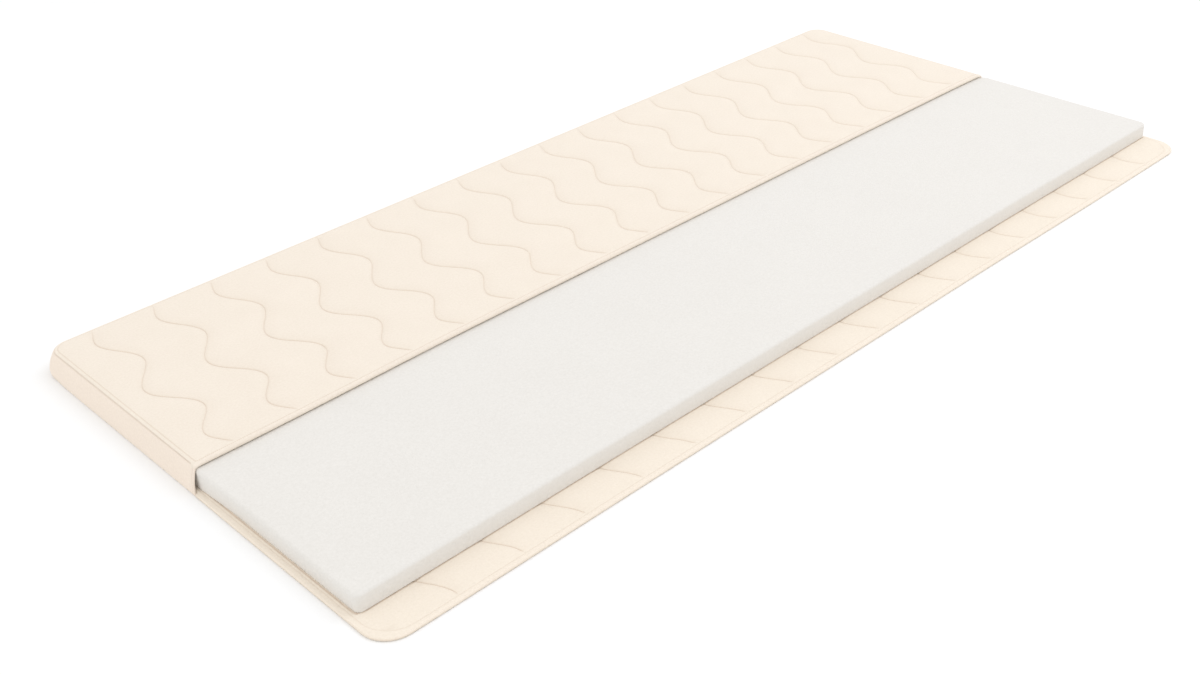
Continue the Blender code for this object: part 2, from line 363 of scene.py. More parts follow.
@dataclass(frozen=True, kw_only=True)
class SlantedWaves(QuiltLines):
    """The top sheet's lines: waves that drift and slant evenly from the first to the last."""

    cut: float
    turns: tuple[Turn, ...]

    def lines(self, y: Array) -> Array:
        """Return x of every line.

        Args:
            y: Places across the width.

        Returns:
            An array with a row for each y and a column for each line.
        """
        behind = y[:, None] - self.cut
        backs = [self.drift(turn.back_near, turn.back_far) for turn in self.turns]
        sides = [self.drift(turn.side_near, turn.side_far) for turn in self.turns]
        offset = sides[0]
        for k in range(len(self.turns) - 1):
            run = np.clip((behind - backs[k]) / (backs[k + 1] - backs[k]), 0.0, 1.0)
            offset = offset + (sides[k + 1] - sides[k]) * (0.5 - 0.5 * np.cos(math.pi * run))
        return self.places() + offset


@dataclass(frozen=True, kw_only=True)
class EvenWaves(QuiltLines):
    """The bottom sheet's lines: even waves, whose first turn drifts towards the front edge."""

    front: float
    half_wave: float
    side: tuple[float, float]
    turn: tuple[float, float]

    def lines(self, y: Array) -> Array:
        """Return x of every line at each y, in a row for each y and a column for each line."""
        behind = y[:, None] - self.front - self.drift(*self.turn)
        return self.places() - self.drift(*self.side) * np.cos(math.pi * behind / self.half_wave)


@dataclass(frozen=True)
class QuiltColumns:
    """Where a quilted sheet's mesh has its columns: close beside each line, wide between them."""

    beside: tuple[float, ...] = (0.0006, 0.0014, 0.0026, 0.0045, 0.0075, 0.0120, 0.0190)
    between: tuple[float, ...] = (0.58, 0.79)
    end_shares: tuple[float, ...] = (0.0, 0.25, 0.5, 0.75)
    end_room: float = 1.3

    def row(self, half: float, lines: Array, stretch: Array) -> Array:
        """Return x of each column in one row.

        Args:
            half: Half the row's length.
            lines: X of each stitched line in the row.
            stretch: Length of each line for each metre across.

        Returns:
            The columns from left to right.
        """
        beside, between, ends = (np.array(part) for part in (self.beside, self.between, self.end_shares))
        left_room, right_room = lines[0] + half, half - lines[-1]
        reach = self.end_room * beside[-1]
        left = beside * stretch[0] * min(1.0, left_room / (reach * stretch[0]))
        right = beside * stretch[-1] * min(1.0, right_room / (reach * stretch[-1]))
        parts = [-half + ends * (left_room - left[-1]), lines[0] - left[::-1]]
        for k in range(len(lines) - 1):
            line, next_line = lines[k], lines[k + 1]
            gap = 0.5 * (next_line - line)
            parts += [[line], line + beside * stretch[k], line + between * gap, [line + gap]]
            parts += [next_line - between[::-1] * gap, next_line - beside[::-1] * stretch[k + 1]]
        parts += [[lines[-1]], lines[-1] + right, half - ends[::-1] * (right_room - right[-1])]
        return np.concatenate(parts)


# ---------------------------------------------------------------------------------------------
# Meshes


def smooth_piece(name: str, points: Array, faces: list[list[int]], material: bpy.types.Material) -> Piece:
    """Make a smooth object with its faces pointing out.

    Args:
        name: The piece's name.
        points: Its points, one in each row.
        faces: The numbers of each face's points.
        material: Its material.

    Returns:
        The piece, at the origin.
    """
    mesh = bpy.data.meshes.new(name)
    mesh.from_pydata(points.tolist(), [], faces)
    shape = bmesh.new()
    shape.from_mesh(mesh)
    bmesh.ops.recalc_face_normals(shape, faces=shape.faces[:])
    shape.to_mesh(mesh)
    shape.free()
    mesh.shade_smooth()
    mesh.materials.append(material)
    piece = bpy.data.objects.new(name, mesh)
    bpy.context.scene.collection.objects.link(piece)
    return piece


class ClothMesh:
    """Points and faces of one piece of cloth, each point with its place on the cloth."""

    def __init__(self) -> None:
        """Start with no points."""
        self._points: list[Array] = []
        self._cloth: list[Array] = []
        self._painted_shades: list[Array] = []
        self._faces: list[list[int]] = []
        self._count = 0

    def add(self, points: Array, cloth: Array, painted_shades: Array) -> Array:
        """Add points.

        Args:
            points: Points, three numbers in each last row.
            cloth: Their places on the cloth, two numbers each, in metres.
            painted_shades: Strength of the painted shade at each, from 0 to 1.

        Returns:
            Their numbers, in the shape of the points.
        """
        shape = points.shape[:-1]
        start = self._count
        self._count += math.prod(shape)
        self._points.append(points.reshape(-1, 3))
        self._cloth.append(cloth.reshape(-1, 2))
        self._painted_shades.append(painted_shades.reshape(-1))
        return np.arange(start, self._count).reshape(shape)

    def points_of(self, numbers: Array) -> Array:
        """Return the places of points."""
        return np.concatenate(self._points)[numbers]

    def cloth_of(self, numbers: Array) -> Array:
        """Return the cloth coordinates of points."""
        return np.concatenate(self._cloth)[numbers]

    def join(self, near: Array, far: Array, closed: bool = False) -> Array:
        """Join two chains of points with faces.

        Args:
            near: Numbers of the first chain.
            far: Numbers of the second chain, as many.
            closed: Whether the chains are loops.

        Returns:
            The second chain.
        """
        if closed:
            self.join(np.append(near, near[0]), np.append(far, far[0]))
        else:
            self._faces += np.stack([near[:-1], near[1:], far[1:], far[:-1]], axis=1).tolist()
        return far

    def join_rows(self, rows: Array) -> None:
        """Join each row of points to the next."""
        for near, far in zip(rows, rows[1:]):
            self.join(near, far)

    def cap(self, loop: Array) -> None:
        """Close a flat loop with one face."""
        self._faces.append(loop.tolist())

    def build(self, name: str, material: bpy.types.Material) -> Piece:
        """Make the piece, with its cloth coordinates and its painted shade.

        Args:
            name: The piece's name.
            material: Its material.

        Returns:
            The piece, at the origin.
        """
        piece = smooth_piece(name, np.concatenate(self._points), self._faces, material)
        corners = np.zeros(len(piece.data.loops), np.int32)
        piece.data.loops.foreach_get("vertex_index", corners)
        cloth = np.concatenate(self._cloth)[corners].astype(np.float32)
        piece.data.uv_layers.new(name=CLOTH_MAP).data.foreach_set("uv", cloth.ravel())
        painted_shades = piece.data.attributes.new(PAINTED_SHADE_ATTRIBUTE, "FLOAT", "POINT")
        painted_shades.data.foreach_set("value", np.concatenate(self._painted_shades).astype(np.float32))
        return piece


# ---------------------------------------------------------------------------------------------
# Finishes


class NodeGraph:
    """A material under construction, with a short way to add and join its nodes."""

    def __init__(self, name: str) -> None:
        """Start a material.

        Args:
            name: The material's name.
        """
        self.material = bpy.data.materials.new(name)
        self.material.use_nodes = True
        self.shader = self.material.node_tree.nodes["Principled BSDF"]

    def add(self, kind: str, sockets: dict[int | str, object], **settings: object) -> bpy.types.Node:
        """Add a node.

        Args:
            kind: The node's type, without its ShaderNode prefix.
            sockets: Values or other nodes' outputs for its inputs, by name or place.
            **settings: The node's own settings.

        Returns:
            The node.
        """
        node = self.material.node_tree.nodes.new("ShaderNode" + kind)
        for name, value in settings.items():
            setattr(node, name, value)
        self.feed(node, sockets)
        return node

    def feed(self, node: bpy.types.Node, sockets: dict[int | str, object]) -> None:
        """Give a node's inputs their values, or join outputs to them.

        Args:
            node: The node.
            sockets: Values or other nodes' outputs for its inputs, by name or place.
        """
        for key, value in sockets.items():
            if isinstance(value, Socket):
                self.material.node_tree.links.new(value, node.inputs[key])
            else:
                node.inputs[key].default_value = value

    def place(self) -> Socket:
        """Add the place on the object, in metres."""
        return self.add("TexCoord", {}).outputs["Object"]

    def math(self, operation: str, first: Socket | float, second: Socket | float = 0.0) -> Socket:
        """Add a Math node."""
        return self.add("Math", {0: first, 1: second}, operation=operation).outputs[0]

    def noise(self, place: Socket, scale: float, detail: float) -> Socket:
        """Add a noise pattern from 0 to 1, with a scale of patches for each metre."""
        return self.add("TexNoise", {"Vector": place, "Scale": scale, "Detail": detail}).outputs["Fac"]

    def mix(self, share: Socket, first: Socket | Colour, second: Socket | Colour) -> Socket:
        """Mix two colours: the first at share 0, the second at share 1."""
        return self.add("Mix", {0: share, 6: first, 7: second}, data_type="RGBA").outputs[2]

    def between(self, value: Socket, low: float, high: float) -> Socket:
        """Stretch a value from 0 to 1 onto a range."""
        return self.add("MapRange", {"Value": value, "To Min": low, "To Max": high}).outputs["Result"]

    def total(self, *parts: tuple[Socket, float]) -> Socket:
        """Add outputs up, each times its weight."""
        weighted = [self.math("MULTIPLY", value, weight) for value, weight in parts]
        return reduce(lambda first, second: self.math("ADD", first, second), weighted)


class Pattern(NamedTuple):
    """What a finish is drawn with: its height and the grain of its gloss, from 0 to 1, and colour."""

    height: Socket | None
    colour: Socket
    grain: Socket


@dataclass(frozen=True, kw_only=True)
class Finish:
    """A matt surface of a colour and a lighter one, rough within a range, with a low relief."""

    name: str
    colour: Colour
    light: Colour
    contrast: float = 0.0
    rough: tuple[float, float]
    specular: float = 0.2
    sheen: float = 0.0
    sheen_rough: float = 0.5
    relief: float = 0.0
    relief_share: float = 0.0

    def tone(self, graph: NodeGraph, share: Socket) -> Socket:
        """Add the mixture of both colours, the lighter one at share 1, with a contrast about it."""
        stretched = graph.between(share, -self.contrast, 1.0 + self.contrast)
        return graph.mix(stretched, self.colour, self.light)

    def pattern(self, graph: NodeGraph) -> Pattern:
        """Add the surface's pattern."""
        raise NotImplementedError

    def material(self) -> bpy.types.Material:
        """Make the material.

        Returns:
            The material.
        """
        graph = NodeGraph(self.name)
        pattern = self.pattern(graph)
        inputs = {
            "Base Color": pattern.colour,
            "Roughness": graph.between(pattern.grain, *self.rough),
            "Specular IOR Level": self.specular,
            "Sheen Weight": self.sheen,
            "Sheen Roughness": self.sheen_rough,
        }
        if pattern.height is not None:
            raised = {"Height": pattern.height, "Strength": self.relief_share, "Distance": self.relief}
            inputs["Normal"] = graph.add("Bump", raised).outputs["Normal"]
        graph.feed(graph.shader, inputs)
        return graph.material


@dataclass(frozen=True, kw_only=True)
class ClothFinish(Finish):
    """A fine matt knit: wales and courses, a soft fuzz and faint mottling, with warmer painted shade in
    its stitched grooves, along seams and under rims.
    """

    # Colour of the painted shade in grooves, along seams and under rims
    trough: Colour = (0.610, 0.470, 0.350, 1.0)
    contrast: float = 1.0
    rough: tuple[float, float] = (0.86, 0.98)
    sheen: float = 0.12
    sheen_rough: float = 0.6
    relief: float = 0.40 * MM
    relief_share: float = 0.6
    wale: float = 1.25 * MM
    course: float = 0.95 * MM
    limb_slant: float = 1.1
    fuzz_scale: float = 1100.0
    fleck_scale: float = 420.0
    nap_scale: float = 250.0
    mottle_scale: float = 14.0
    # Weights of the knit, the fuzz and the flecks in the relief
    heights: tuple[float, float, float] = (0.45, 0.9, 0.8)
    # Weights of the nap, the flecks and the mottling in the colour
    tones: tuple[float, float, float] = (0.45, 0.35, 0.2)

    def pattern(self, graph: NodeGraph) -> Pattern:
        """Add the knit.

        Args:
            graph: The material under construction.

        Returns:
            Its pattern.
        """
        place = graph.add("UVMap", {}, uv_map=CLOTH_MAP).outputs["UV"]
        split = graph.add("SeparateXYZ", {"Vector": place})
        limb = graph.math("PINGPONG", graph.math("DIVIDE", split.outputs["X"], self.wale), 0.5)
        across = graph.math("DIVIDE", split.outputs["Y"], self.course)
        turned = graph.math("ADD", across, graph.math("MULTIPLY", limb, self.limb_slant))
        loops = graph.math("SINE", graph.math("MULTIPLY", turned, 2.0 * math.pi))
        knit = graph.math("ADD", graph.math("MULTIPLY", loops, 0.5), 0.5)
        fuzz = graph.noise(place, self.fuzz_scale, detail=2.0)
        fleck = graph.noise(place, self.fleck_scale, detail=1.0)
        nap = graph.noise(place, self.nap_scale, detail=1.0)
        mottle = graph.noise(place, self.mottle_scale, detail=3.0)
        height = graph.total(*zip((knit, fuzz, fleck), self.heights))
        tone = self.tone(graph, graph.total(*zip((nap, fleck, mottle), self.tones)))
        # Painted shade: the knit turns towards the trough colour as the attribute rises
        painted_shade = graph.add("Attribute", {}, attribute_name=PAINTED_SHADE_ATTRIBUTE).outputs["Fac"]
        return Pattern(height, graph.mix(painted_shade, tone, self.trough), fuzz)


@dataclass(frozen=True, kw_only=True)
class FoamFinish(Finish):
    """Soft open-cell foam: fine pores, a faint grain and hardly any gloss."""

    contrast: float = 0.5
    rough: tuple[float, float] = (0.8, 0.95)
    relief: float = 0.45 * MM
    relief_share: float = 0.55
    pore_scale: float = 780.0
    grain_scale: float = 340.0
    speckle_scale: float = 240.0
    patch_scale: float = 11.0
    # Weights of the pores and the grain in the relief
    heights: tuple[float, float] = (0.7, 1.0)
    # Weights of the speckles, the grain and the patches in the colour
    tones: tuple[float, float, float] = (0.5, 0.35, 0.15)

    def pattern(self, graph: NodeGraph) -> Pattern:
        """Add the pores and the grain.

        Args:
            graph: The material under construction.

        Returns:
            Its pattern.
        """
        place = graph.place()
        pores = graph.add("TexVoronoi", {"Vector": place, "Scale": self.pore_scale})
        grain = graph.noise(place, self.grain_scale, detail=2.0)
        speckle = graph.noise(place, self.speckle_scale, detail=1.0)
        patch = graph.noise(place, self.patch_scale, detail=2.0)
        height = graph.total(*zip((pores.outputs["Distance"], grain), self.heights))
        tone = self.tone(graph, graph.total(*zip((speckle, grain, patch), self.tones)))
        return Pattern(height, tone, grain)


@dataclass(frozen=True, kw_only=True)
class ThreadFinish(Finish):
    """Spun sewing thread with a little sheen."""

    rough: tuple[float, float] = (0.55, 0.75)
    specular: float = 0.5
    sheen: float = 0.2
    relief: float = 0.1 * MM
    relief_share: float = 0.4
    twist_scale: float = 1600.0

    def pattern(self, graph: NodeGraph) -> Pattern:
        """Add the twist."""
        twist = graph.noise(graph.place(), self.twist_scale, detail=1.0)
        return Pattern(twist, self.tone(graph, twist), twist)


@dataclass(frozen=True, kw_only=True)
class FloorFinish(Finish):
    """A plain pale floor with a barely uneven matt surface."""

    name: str = "pale_floor"
    colour: Colour = (0.90, 0.90, 0.90, 1.0)
    light: Colour = (0.91, 0.91, 0.91, 1.0)
    rough: tuple[float, float] = (0.93, 0.98)
    specular: float = 0.0
    patch_scale: float = 1.5

    def pattern(self, graph: NodeGraph) -> Pattern:
        """Add the broad patches."""
        patch = graph.noise(graph.place(), self.patch_scale, detail=2.0)
        return Pattern(None, self.tone(graph, patch), patch)


TOP_FINISH = ClothFinish(
    name="cream_knit_top", colour=(0.822, 0.735, 0.630, 1.0), light=(0.875, 0.792, 0.692, 1.0)
)
BOTTOM_FINISH = ClothFinish(
    name="cream_knit_bottom", colour=(0.846, 0.756, 0.640, 1.0), light=(0.897, 0.809, 0.699, 1.0)
)
# The same knit as the top, its colour set apart to make up for how the lamps light the wall's side faces:
# partly the knit's own colour, partly painted light
WALL_FINISH = ClothFinish(
    name="cream_knit_wall", colour=(0.835, 0.729, 0.626, 1.0), light=(0.890, 0.787, 0.682, 1.0)
)
FOAM_FINISH = FoamFinish(
    name="soft_foam", colour=(0.724, 0.700, 0.662, 1.0), light=(0.791, 0.768, 0.733, 1.0)
)
THREAD_FINISH = ThreadFinish(
    name="cream_thread", colour=(0.840, 0.745, 0.640, 1.0), light=(0.890, 0.815, 0.725, 1.0)
)


# ---------------------------------------------------------------------------------------------
# The four pieces of soft goods


@dataclass
class FoamSlab:
    """Soft foam slab with round corners and edges, a little uneven.

    Its bared front stands forward, more towards both ends and at its foot. Its bared right end
    swells past the side wall, and its left end bulges beside the wall's cut end.
    """

    top_round: float = 5.5 * MM
    foot_round: float = 1.6 * MM
    front_corner: float = 0.010
    back_corner: float = 0.028
    pane: float = 0.025
    unevenness: float = 0.5 * MM
    uneven_reach: float = 0.05
    uneven_rise: float = 0.3
    front_phase: float = 3.0
    end_phase: float = 5.0
    front_swell: float = 0.8 * MM
    foot_spread: float = 1.6 * MM
    end_drift: float = 1.6 * MM
    drift_start: float = 0.45
    drift_run: float = 0.50
    swell: float = 10.0 * MM
    swell_reach: float = 0.080
    swell_start: float = -0.006
    swell_run: float = 0.014
    wall_swell: float = 4.0 * MM
    wall_start: float = -0.110
    wall_run: float = 0.100
    wall_top_loss: float = 0.6

    def __post_init__(self) -> None:
        """Take the slab's reach from its solid."""
        self.low, self.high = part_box(Node.FOAM.value)

    def forward(self, x: Array) -> Array:
        """Return how far the bared front stands forward at each place along the length."""
        return self.front_swell + self.end_drift * ease(np.abs(x) - self.drift_start, self.drift_run)

    def foot_gap(self, x: Array, y: Array) -> Array:
        """Return the distance outwards from the slab's foot where it is bared.

        Args:
            x: Places along the length.
            y: Places across the width.

        Returns:
            Distances, negative under the slab.
        """
        half = 0.5 * (self.high.x - self.low.x + self.swell)
        plan = RoundedPlan(half, self.low.y, self.high.y, self.front_corner, 0.0)
        return -plan.depth(x - 0.5 * self.swell, y + self.foot_spread + self.forward(x))

    def build(self) -> Piece:
        """Make the slab: a block with bevelled edges, cut into panes and gently moved.

        Returns:
            The piece.
        """
        size = self.high - self.low
        bpy.ops.object.select_all(action="DESELECT")
        bpy.ops.mesh.primitive_cube_add(size=1.0, location=(self.low + self.high) / 2.0)
        slab = bpy.context.object
        slab.name = slab.data.name = "foam_slab"
        slab.scale = size
        bpy.ops.object.transform_apply(location=True, rotation=True, scale=True)
        bpy.ops.object.mode_set(mode="EDIT")
        bpy.ops.mesh.select_mode(type="EDGE")
        self.round_edges(slab, 1, self.low.y, self.front_corner, steps=8)
        self.round_edges(slab, 1, self.high.y, self.back_corner, steps=8)
        self.round_edges(slab, 2, self.high.z, self.top_round, steps=9)
        self.round_edges(slab, 2, self.low.z, self.foot_round, steps=4)
        for axis, way in enumerate((Vector((1.0, 0.0, 0.0)), Vector((0.0, 1.0, 0.0)))):
            panes = round(size[axis] / self.pane)
            for k in range(1, panes):
                place = self.low[axis] + size[axis] * k / panes
                bpy.ops.mesh.select_all(action="SELECT")
                bpy.ops.mesh.bisect(plane_co=way * place, plane_no=way)
        bpy.ops.mesh.select_all(action="SELECT")
        bpy.ops.mesh.normals_make_consistent(inside=False)
        bpy.ops.object.mode_set(mode="OBJECT")
        self.soften(slab)
        bpy.ops.object.shade_smooth()
        slab.data.materials.append(FOAM_FINISH.material())
        return slab

    @staticmethod
    def round_edges(slab: Piece, axis: int, place: float, radius: float, steps: int) -> None:
        """Round the edges at a place on an axis, in edit mode: upright ones on y, level ones on z.

        Args:
            slab: The slab.
            axis: 1 for y, 2 for z.
            place: The place on that axis.
            radius: Radius of the rounding.
            steps: Number of faces round it.
        """
        bpy.ops.mesh.select_all(action="DESELECT")
        shape = bmesh.from_edit_mesh(slab.data)
        for edge in shape.edges:
            start, end = (vertex.co for vertex in edge.verts)
            there = max(abs(start[axis] - place), abs(end[axis] - place)) < NEAR
            edge.select_set(there and (axis == 2 or abs(start.z - end.z) > NEAR))
        bmesh.update_edit_mesh(slab.data)
        bpy.ops.mesh.bevel(
            offset=radius, segments=steps, profile=0.5, affect="EDGES", clamp_overlap=False
        )

    def soften(self, slab: Piece) -> None:
        """Move the slab's points a little, as its class says.

        Args:
            slab: The slab.
        """
        points = np.zeros(len(slab.data.vertices) * 3)
        slab.data.vertices.foreach_get("co", points)
        points = points.reshape(-1, 3)
        x, y, z = points.T.copy()
        height = np.clip((z - self.low.z) / (self.high.z - self.low.z), 0.0, 1.0)
        ends = np.minimum(x - self.low.x, self.high.x - x)
        inside = np.minimum(ends, np.minimum(y - self.low.y, self.high.y - y))
        at_side = (1.0 - ease(inside, self.uneven_reach)) * ease(height, self.uneven_rise)
        points[:, 2] += unevenness(x, y, self.unevenness) * ease(height, 1.0)
        points[:, 1] += unevenness(x + self.front_phase, 0.5 * z, self.unevenness) * at_side
        points[:, 0] += unevenness(y + self.end_phase, 0.5 * z, self.unevenness) * at_side
        at_right = ease(x - self.high.x + self.swell_reach, self.swell_reach)
        points[:, 0] += self.swell * at_right * ease(self.swell_start - y, self.swell_run)
        at_left = ease(self.low.x + self.swell_reach - x, self.swell_reach)
        bulge = self.wall_swell * (1.0 - self.wall_top_loss * height)
        points[:, 0] -= bulge * at_left * ease(y - self.wall_start, self.wall_run)
        forward = self.forward(x) + self.foot_spread * (1.0 - height)
        points[:, 1] -= forward * ease(self.swell_start - y, self.swell_reach)
        slab.data.vertices.foreach_set("co", points.ravel())
        slab.data.update()


@dataclass
class QuiltedSheet:
    """What both quilted sheets share: sewing that draws the upper face in, and a mesh by rows.

    Each sheet takes its outline from its solid, and has its own upper face. Its points are placed
    with straight edges and then moved.
    """

    sewn: tuple[Trough, ...]
    wide: Trough
    stitched: Trough
    # Painted shade along the stitched line inside the edge
    stitch_painted_shade: Trough
    unevenness: float
    band: float
    band_depths: tuple[float, ...]
    soft_run: float = 0.020
    sewn_start: float = 1.0 * MM
    sewn_step: float = 2.0 * MM
    columns: QuiltColumns = QuiltColumns()
    edge: RoundedPlan = field(init=False)
    stitch: RoundedPlan = field(init=False)
    quilt: QuiltLines = field(init=False)
    sewn_to: float = field(init=False)

    def face(self, x: Array, y: Array) -> tuple[Array, Array]:
        """Return the upper face's heights, and the strength of the painted shade on it, from 0 to 1."""
        raise NotImplementedError

    def moved(self, x: Array, y: Array) -> Array:
        """Return y once the sheet's loose edge has moved."""
        raise NotImplementedError

    def sewing(self, x: Array, y: Array, fade: Array, wide_fade: Array) -> tuple[Array, Array]:
        """Return what the sewing and the cloth's unevenness do to the upper face.

        Args:
            x: Places along the length.
            y: Places across the width.
            fade: Strength of the quilting lines, from 0 to 1.
            wide_fade: Strength of the broad hollows along them.

        Returns:
            Heights, mostly below zero, and the strength of the painted shade along the sewing.
        """
        away, slopes = self.quilt.beside(x, y)
        inside = self.stitch.depth(x, y)
        drawn = sum(trough.at(away) for trough in self.sewn) * fade + self.wide.at(away) * wide_fade
        rise = unevenness(x, y, self.unevenness) * ease(inside, self.soft_run)
        # Painted shade along the quilting lines and the stitched line
        painted_shades = np.maximum(self.quilt.painted_shades(away, slopes) * fade, self.stitch_painted_shade.at(inside))
        return rise - drawn - self.stitched.at(inside), painted_shades

    def put(self, mesh: ClothMesh, x: Array, y: Array, z: Array, painted_shades: Array) -> Array:
        """Add points to the mesh, moved, and return their numbers."""
        points = np.stack([x, self.moved(x, y), z.reshape(x.shape)], axis=-1)
        return mesh.add(points, np.stack([x, y], axis=-1), painted_shades)

    def put_on_face(self, mesh: ClothMesh, x: Array, y: Array) -> Array:
        """Add points of the upper face to the mesh, moved, and return their numbers."""
        return self.put(mesh, x, y, *self.face(x.ravel(), y.ravel()))

    def column_rows(self, y: Array, half: Array) -> Array:
        """Return x of each column, in a row for each y, from half the length of each row."""
        rows = zip(half, self.quilt.lines(y), self.quilt.stretch(y))
        return np.array([self.columns.row(*row) for row in rows])

    def put_grid(self, mesh: ClothMesh, y: Array, half: Array) -> Array:
        """Add the rows of the upper face to the mesh, joined.

        Args:
            mesh: The mesh.
            y: Places of the rows.
            half: Half the length of each row.

        Returns:
            The points' numbers, in a row for each y.
        """
        x = self.column_rows(y, half)
        grid = self.put_on_face(mesh, x, np.repeat(y[:, None], x.shape[1], axis=1))
        mesh.join_rows(grid)
        return grid

    def on_face(self, plan: Array) -> Array:
        """Return moved points of the upper face, from their places in plan."""
        x, y = plan.T
        return np.column_stack([x, self.moved(x, y), self.face(x, y)[0]])

    def quilting(self) -> list[Array]:
        """Return the quilting lines as arrays of points."""
        y = np.arange(self.stitch.front + self.sewn_start, self.sewn_to, self.sewn_step)
        return [self.on_face(np.stack([line, y], axis=1)) for line in self.quilt.lines(y).T]


class UnderRing(NamedTuple):
    """A ring of points under the top sheet's edge: its angle round the fold, and its shifts.

    It lies inset from the seam, or laps over the side wall, further out and lower than the edge.
    """

    angle: float
    inset: float
    out: float
    fall: float


@dataclass
class TopCover(QuiltedSheet):
    """Quilted sheet over the back half: drawn down to the seam, turned under along its cut.

    Near the cut it laps over the side wall's ends. Between those the cut edge bows back.
    """

    sewn: tuple[Trough, ...] = (Trough(0.75 * MM, 2.6 * MM), Trough(0.50 * MM, 9.0 * MM))
    wide: Trough = Trough(1.5 * MM, 0.032)
    stitched: Trough = Trough(0.45 * MM, 1.8 * MM)
    # Painted shade in the stitched groove, and along the seam with the side wall
    stitch_painted_shade: Trough = Trough(0.80, 1.5 * MM)
    seam_painted_shade: Trough = Trough(0.50, 1.4 * MM)
    crown: Trough = Trough(3.0 * MM, 0.025)
    roll: Trough = Trough(0.9 * MM, 2.4 * MM)
    unevenness: float = 0.35 * MM
    crest_rise: float = 0.5 * MM
    hem_fade: float = 0.012
    edge_share: float = 0.12
    edge_fade: float = 0.032
    seam_radius: float = 0.0301
    sewn_end: float = 1.5 * MM
    stitch_inset: float = 6.0 * MM
    hem_width: float = 7.0 * MM
    hem_corner: float = 5.0 * MM
    hem_swell: float = 0.4 * MM
    hem_under: float = 11.0 * MM
    hem_lift: float = 0.7 * MM
    fold_round: float = 4.0 * MM
    fold_fade: float = 0.020
    edge_under: float = 0.0391
    edge_run: float = 2.8 * MM
    under_run: float = 8.5 * MM
    wrap_length: float = 9.0 * MM
    wrap_fade: float = 4.0 * MM
    wrap_reach: float = 4.0 * MM
    part_half: float = 1.0
    bow_lead: float = 1.2 * MM
    bow_back: float = 7.0 * MM
    bow_front: float = 3.0 * MM
    bow_start: float = 0.055
    bow_rise: float = 0.50
    bow_end: float = 0.05
    bow_fade: float = 0.070
    band: float = 0.0125
    band_depths: tuple[float, ...] = (
        10.8, 9.4, 8.2, 7.4, 6.9, 6.5, 6.2, 5.9, 5.5, 5.0, 4.2, 3.3, 2.4, 1.7, 1.1, 0.6, 0.25, 0.0,
    )
    hem_rows: tuple[float, ...] = (
        -2.4, -1.7, -1.2, -0.8, -0.4, 0.0, 0.4, 0.8, 1.2, 1.8, 2.8, 4.4, 6.4, 8.8,
    )
    fold_steps: int = 8
    corner_steps: int = 9
    row_step: float = 4.0 * MM
    under_rings: tuple[UnderRing, ...] = (
        UnderRing(12.0, 0.0, 1.2 * MM, 1.3 * MM),
        UnderRing(28.0, 0.1 * MM, 2.8 * MM, 4.2 * MM),
        UnderRing(46.0, 0.6 * MM, 1.4 * MM, 4.6 * MM),
        UnderRing(66.0, 1.8 * MM, 0.0, 4.8 * MM),
        UnderRing(90.0, 4.0 * MM, 0.0, 4.8 * MM),
    )

    def __post_init__(self) -> None:
        """Take the sheet's outline from its solid, and set its lines."""
        low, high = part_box(Node.TOP.value)
        self.cut = low.y
        self.half = high.x
        self.under = low.z
        self.crest = high.z - self.hem_swell
        self.edge = RoundedPlan(high.x, low.y - BEYOND, high.y, 0.0, self.seam_radius)
        self.stitch = RoundedPlan(
            high.x - self.stitch_inset,
            low.y + self.hem_width,
            high.y - self.stitch_inset,
            self.hem_corner,
            self.seam_radius - self.stitch_inset,
        )
        self.sewn_to = high.y - self.sewn_end
        self.quilt = SlantedWaves(
            count=18,
            first=-0.9155,
            pitch=0.1130,
            ease_in=0.0006,
            cut=self.cut,
            turns=(
                Turn(0.000, 0.000, 0.0030, -0.0275),
                Turn(0.057, 0.073, -0.0180, -0.0480),
                Turn(0.131, 0.148, 0.0225, -0.0120),
                Turn(0.226, 0.234, -0.0235, -0.0435),
                Turn(0.320, 0.325, 0.0230, 0.0050),
                Turn(0.411, 0.406, -0.0110, -0.0170),
                Turn(0.465, 0.465, 0.0045, 0.0000),
            ),
        )

    def wrap(self, behind: Array) -> Array:
        """Return how far the sheet laps over the side wall, from 0 to 1, behind the cut."""
        return 1.0 - ease(behind - self.wrap_length, self.wrap_fade)

    def moved(self, x: Array, y: Array) -> Array:
        """Return y after the cut edge has slackened back between its two held ends.

        Args:
            x: Places along the length.
            y: Places across the width, with the cut edge straight.

        Returns:
            Places across the width.
        """
        back = self.bow_back * ease(self.half + x - self.bow_start, self.bow_rise) - self.bow_lead
        back = back - self.bow_front * ((x + self.part_half) / (2.0 * self.part_half)) ** 2
        back = back * (1.0 - np.exp((x - self.half) / self.bow_end))
        return y + back * (1.0 - ease(y - self.cut - self.hem_under, self.bow_fade))

    def face(self, x: Array, y: Array) -> tuple[Array, Array]:
        """Return the upper face, with the fold along the cut rounded.

        Args:
            x: Places along the length.
            y: Places across the width.

        Returns:
            Heights, and the strength of the painted shade on the cloth.
        """
        depth = np.maximum(0.0, self.edge.depth(x, y))
        behind = y - self.cut
        soft = ease(self.stitch.depth(x, y), self.soft_run)
        near_seam = self.edge_share + (1.0 - self.edge_share) * ease(depth, self.edge_fade)
        fade = ease(y - self.stitch.front, self.hem_fade) * near_seam
        sewing, painted_shades = self.sewing(x, y, fade, soft)
        free = 1.0 - self.wrap(behind)
        hem = self.hem_swell * np.sin(math.pi * np.clip(behind / self.hem_width, 0.0, 1.0))
        z = self.crest + self.crest_rise * soft + sewing + hem
        z = z - self.crown.at(depth) - self.roll.at(depth) * free
        middle = 0.5 * (z + self.underside(depth, behind))
        run = np.clip(behind / self.fold_round, 0.0, 1.0)
        arc = np.sqrt(1.0 - (1.0 - run) ** 2)
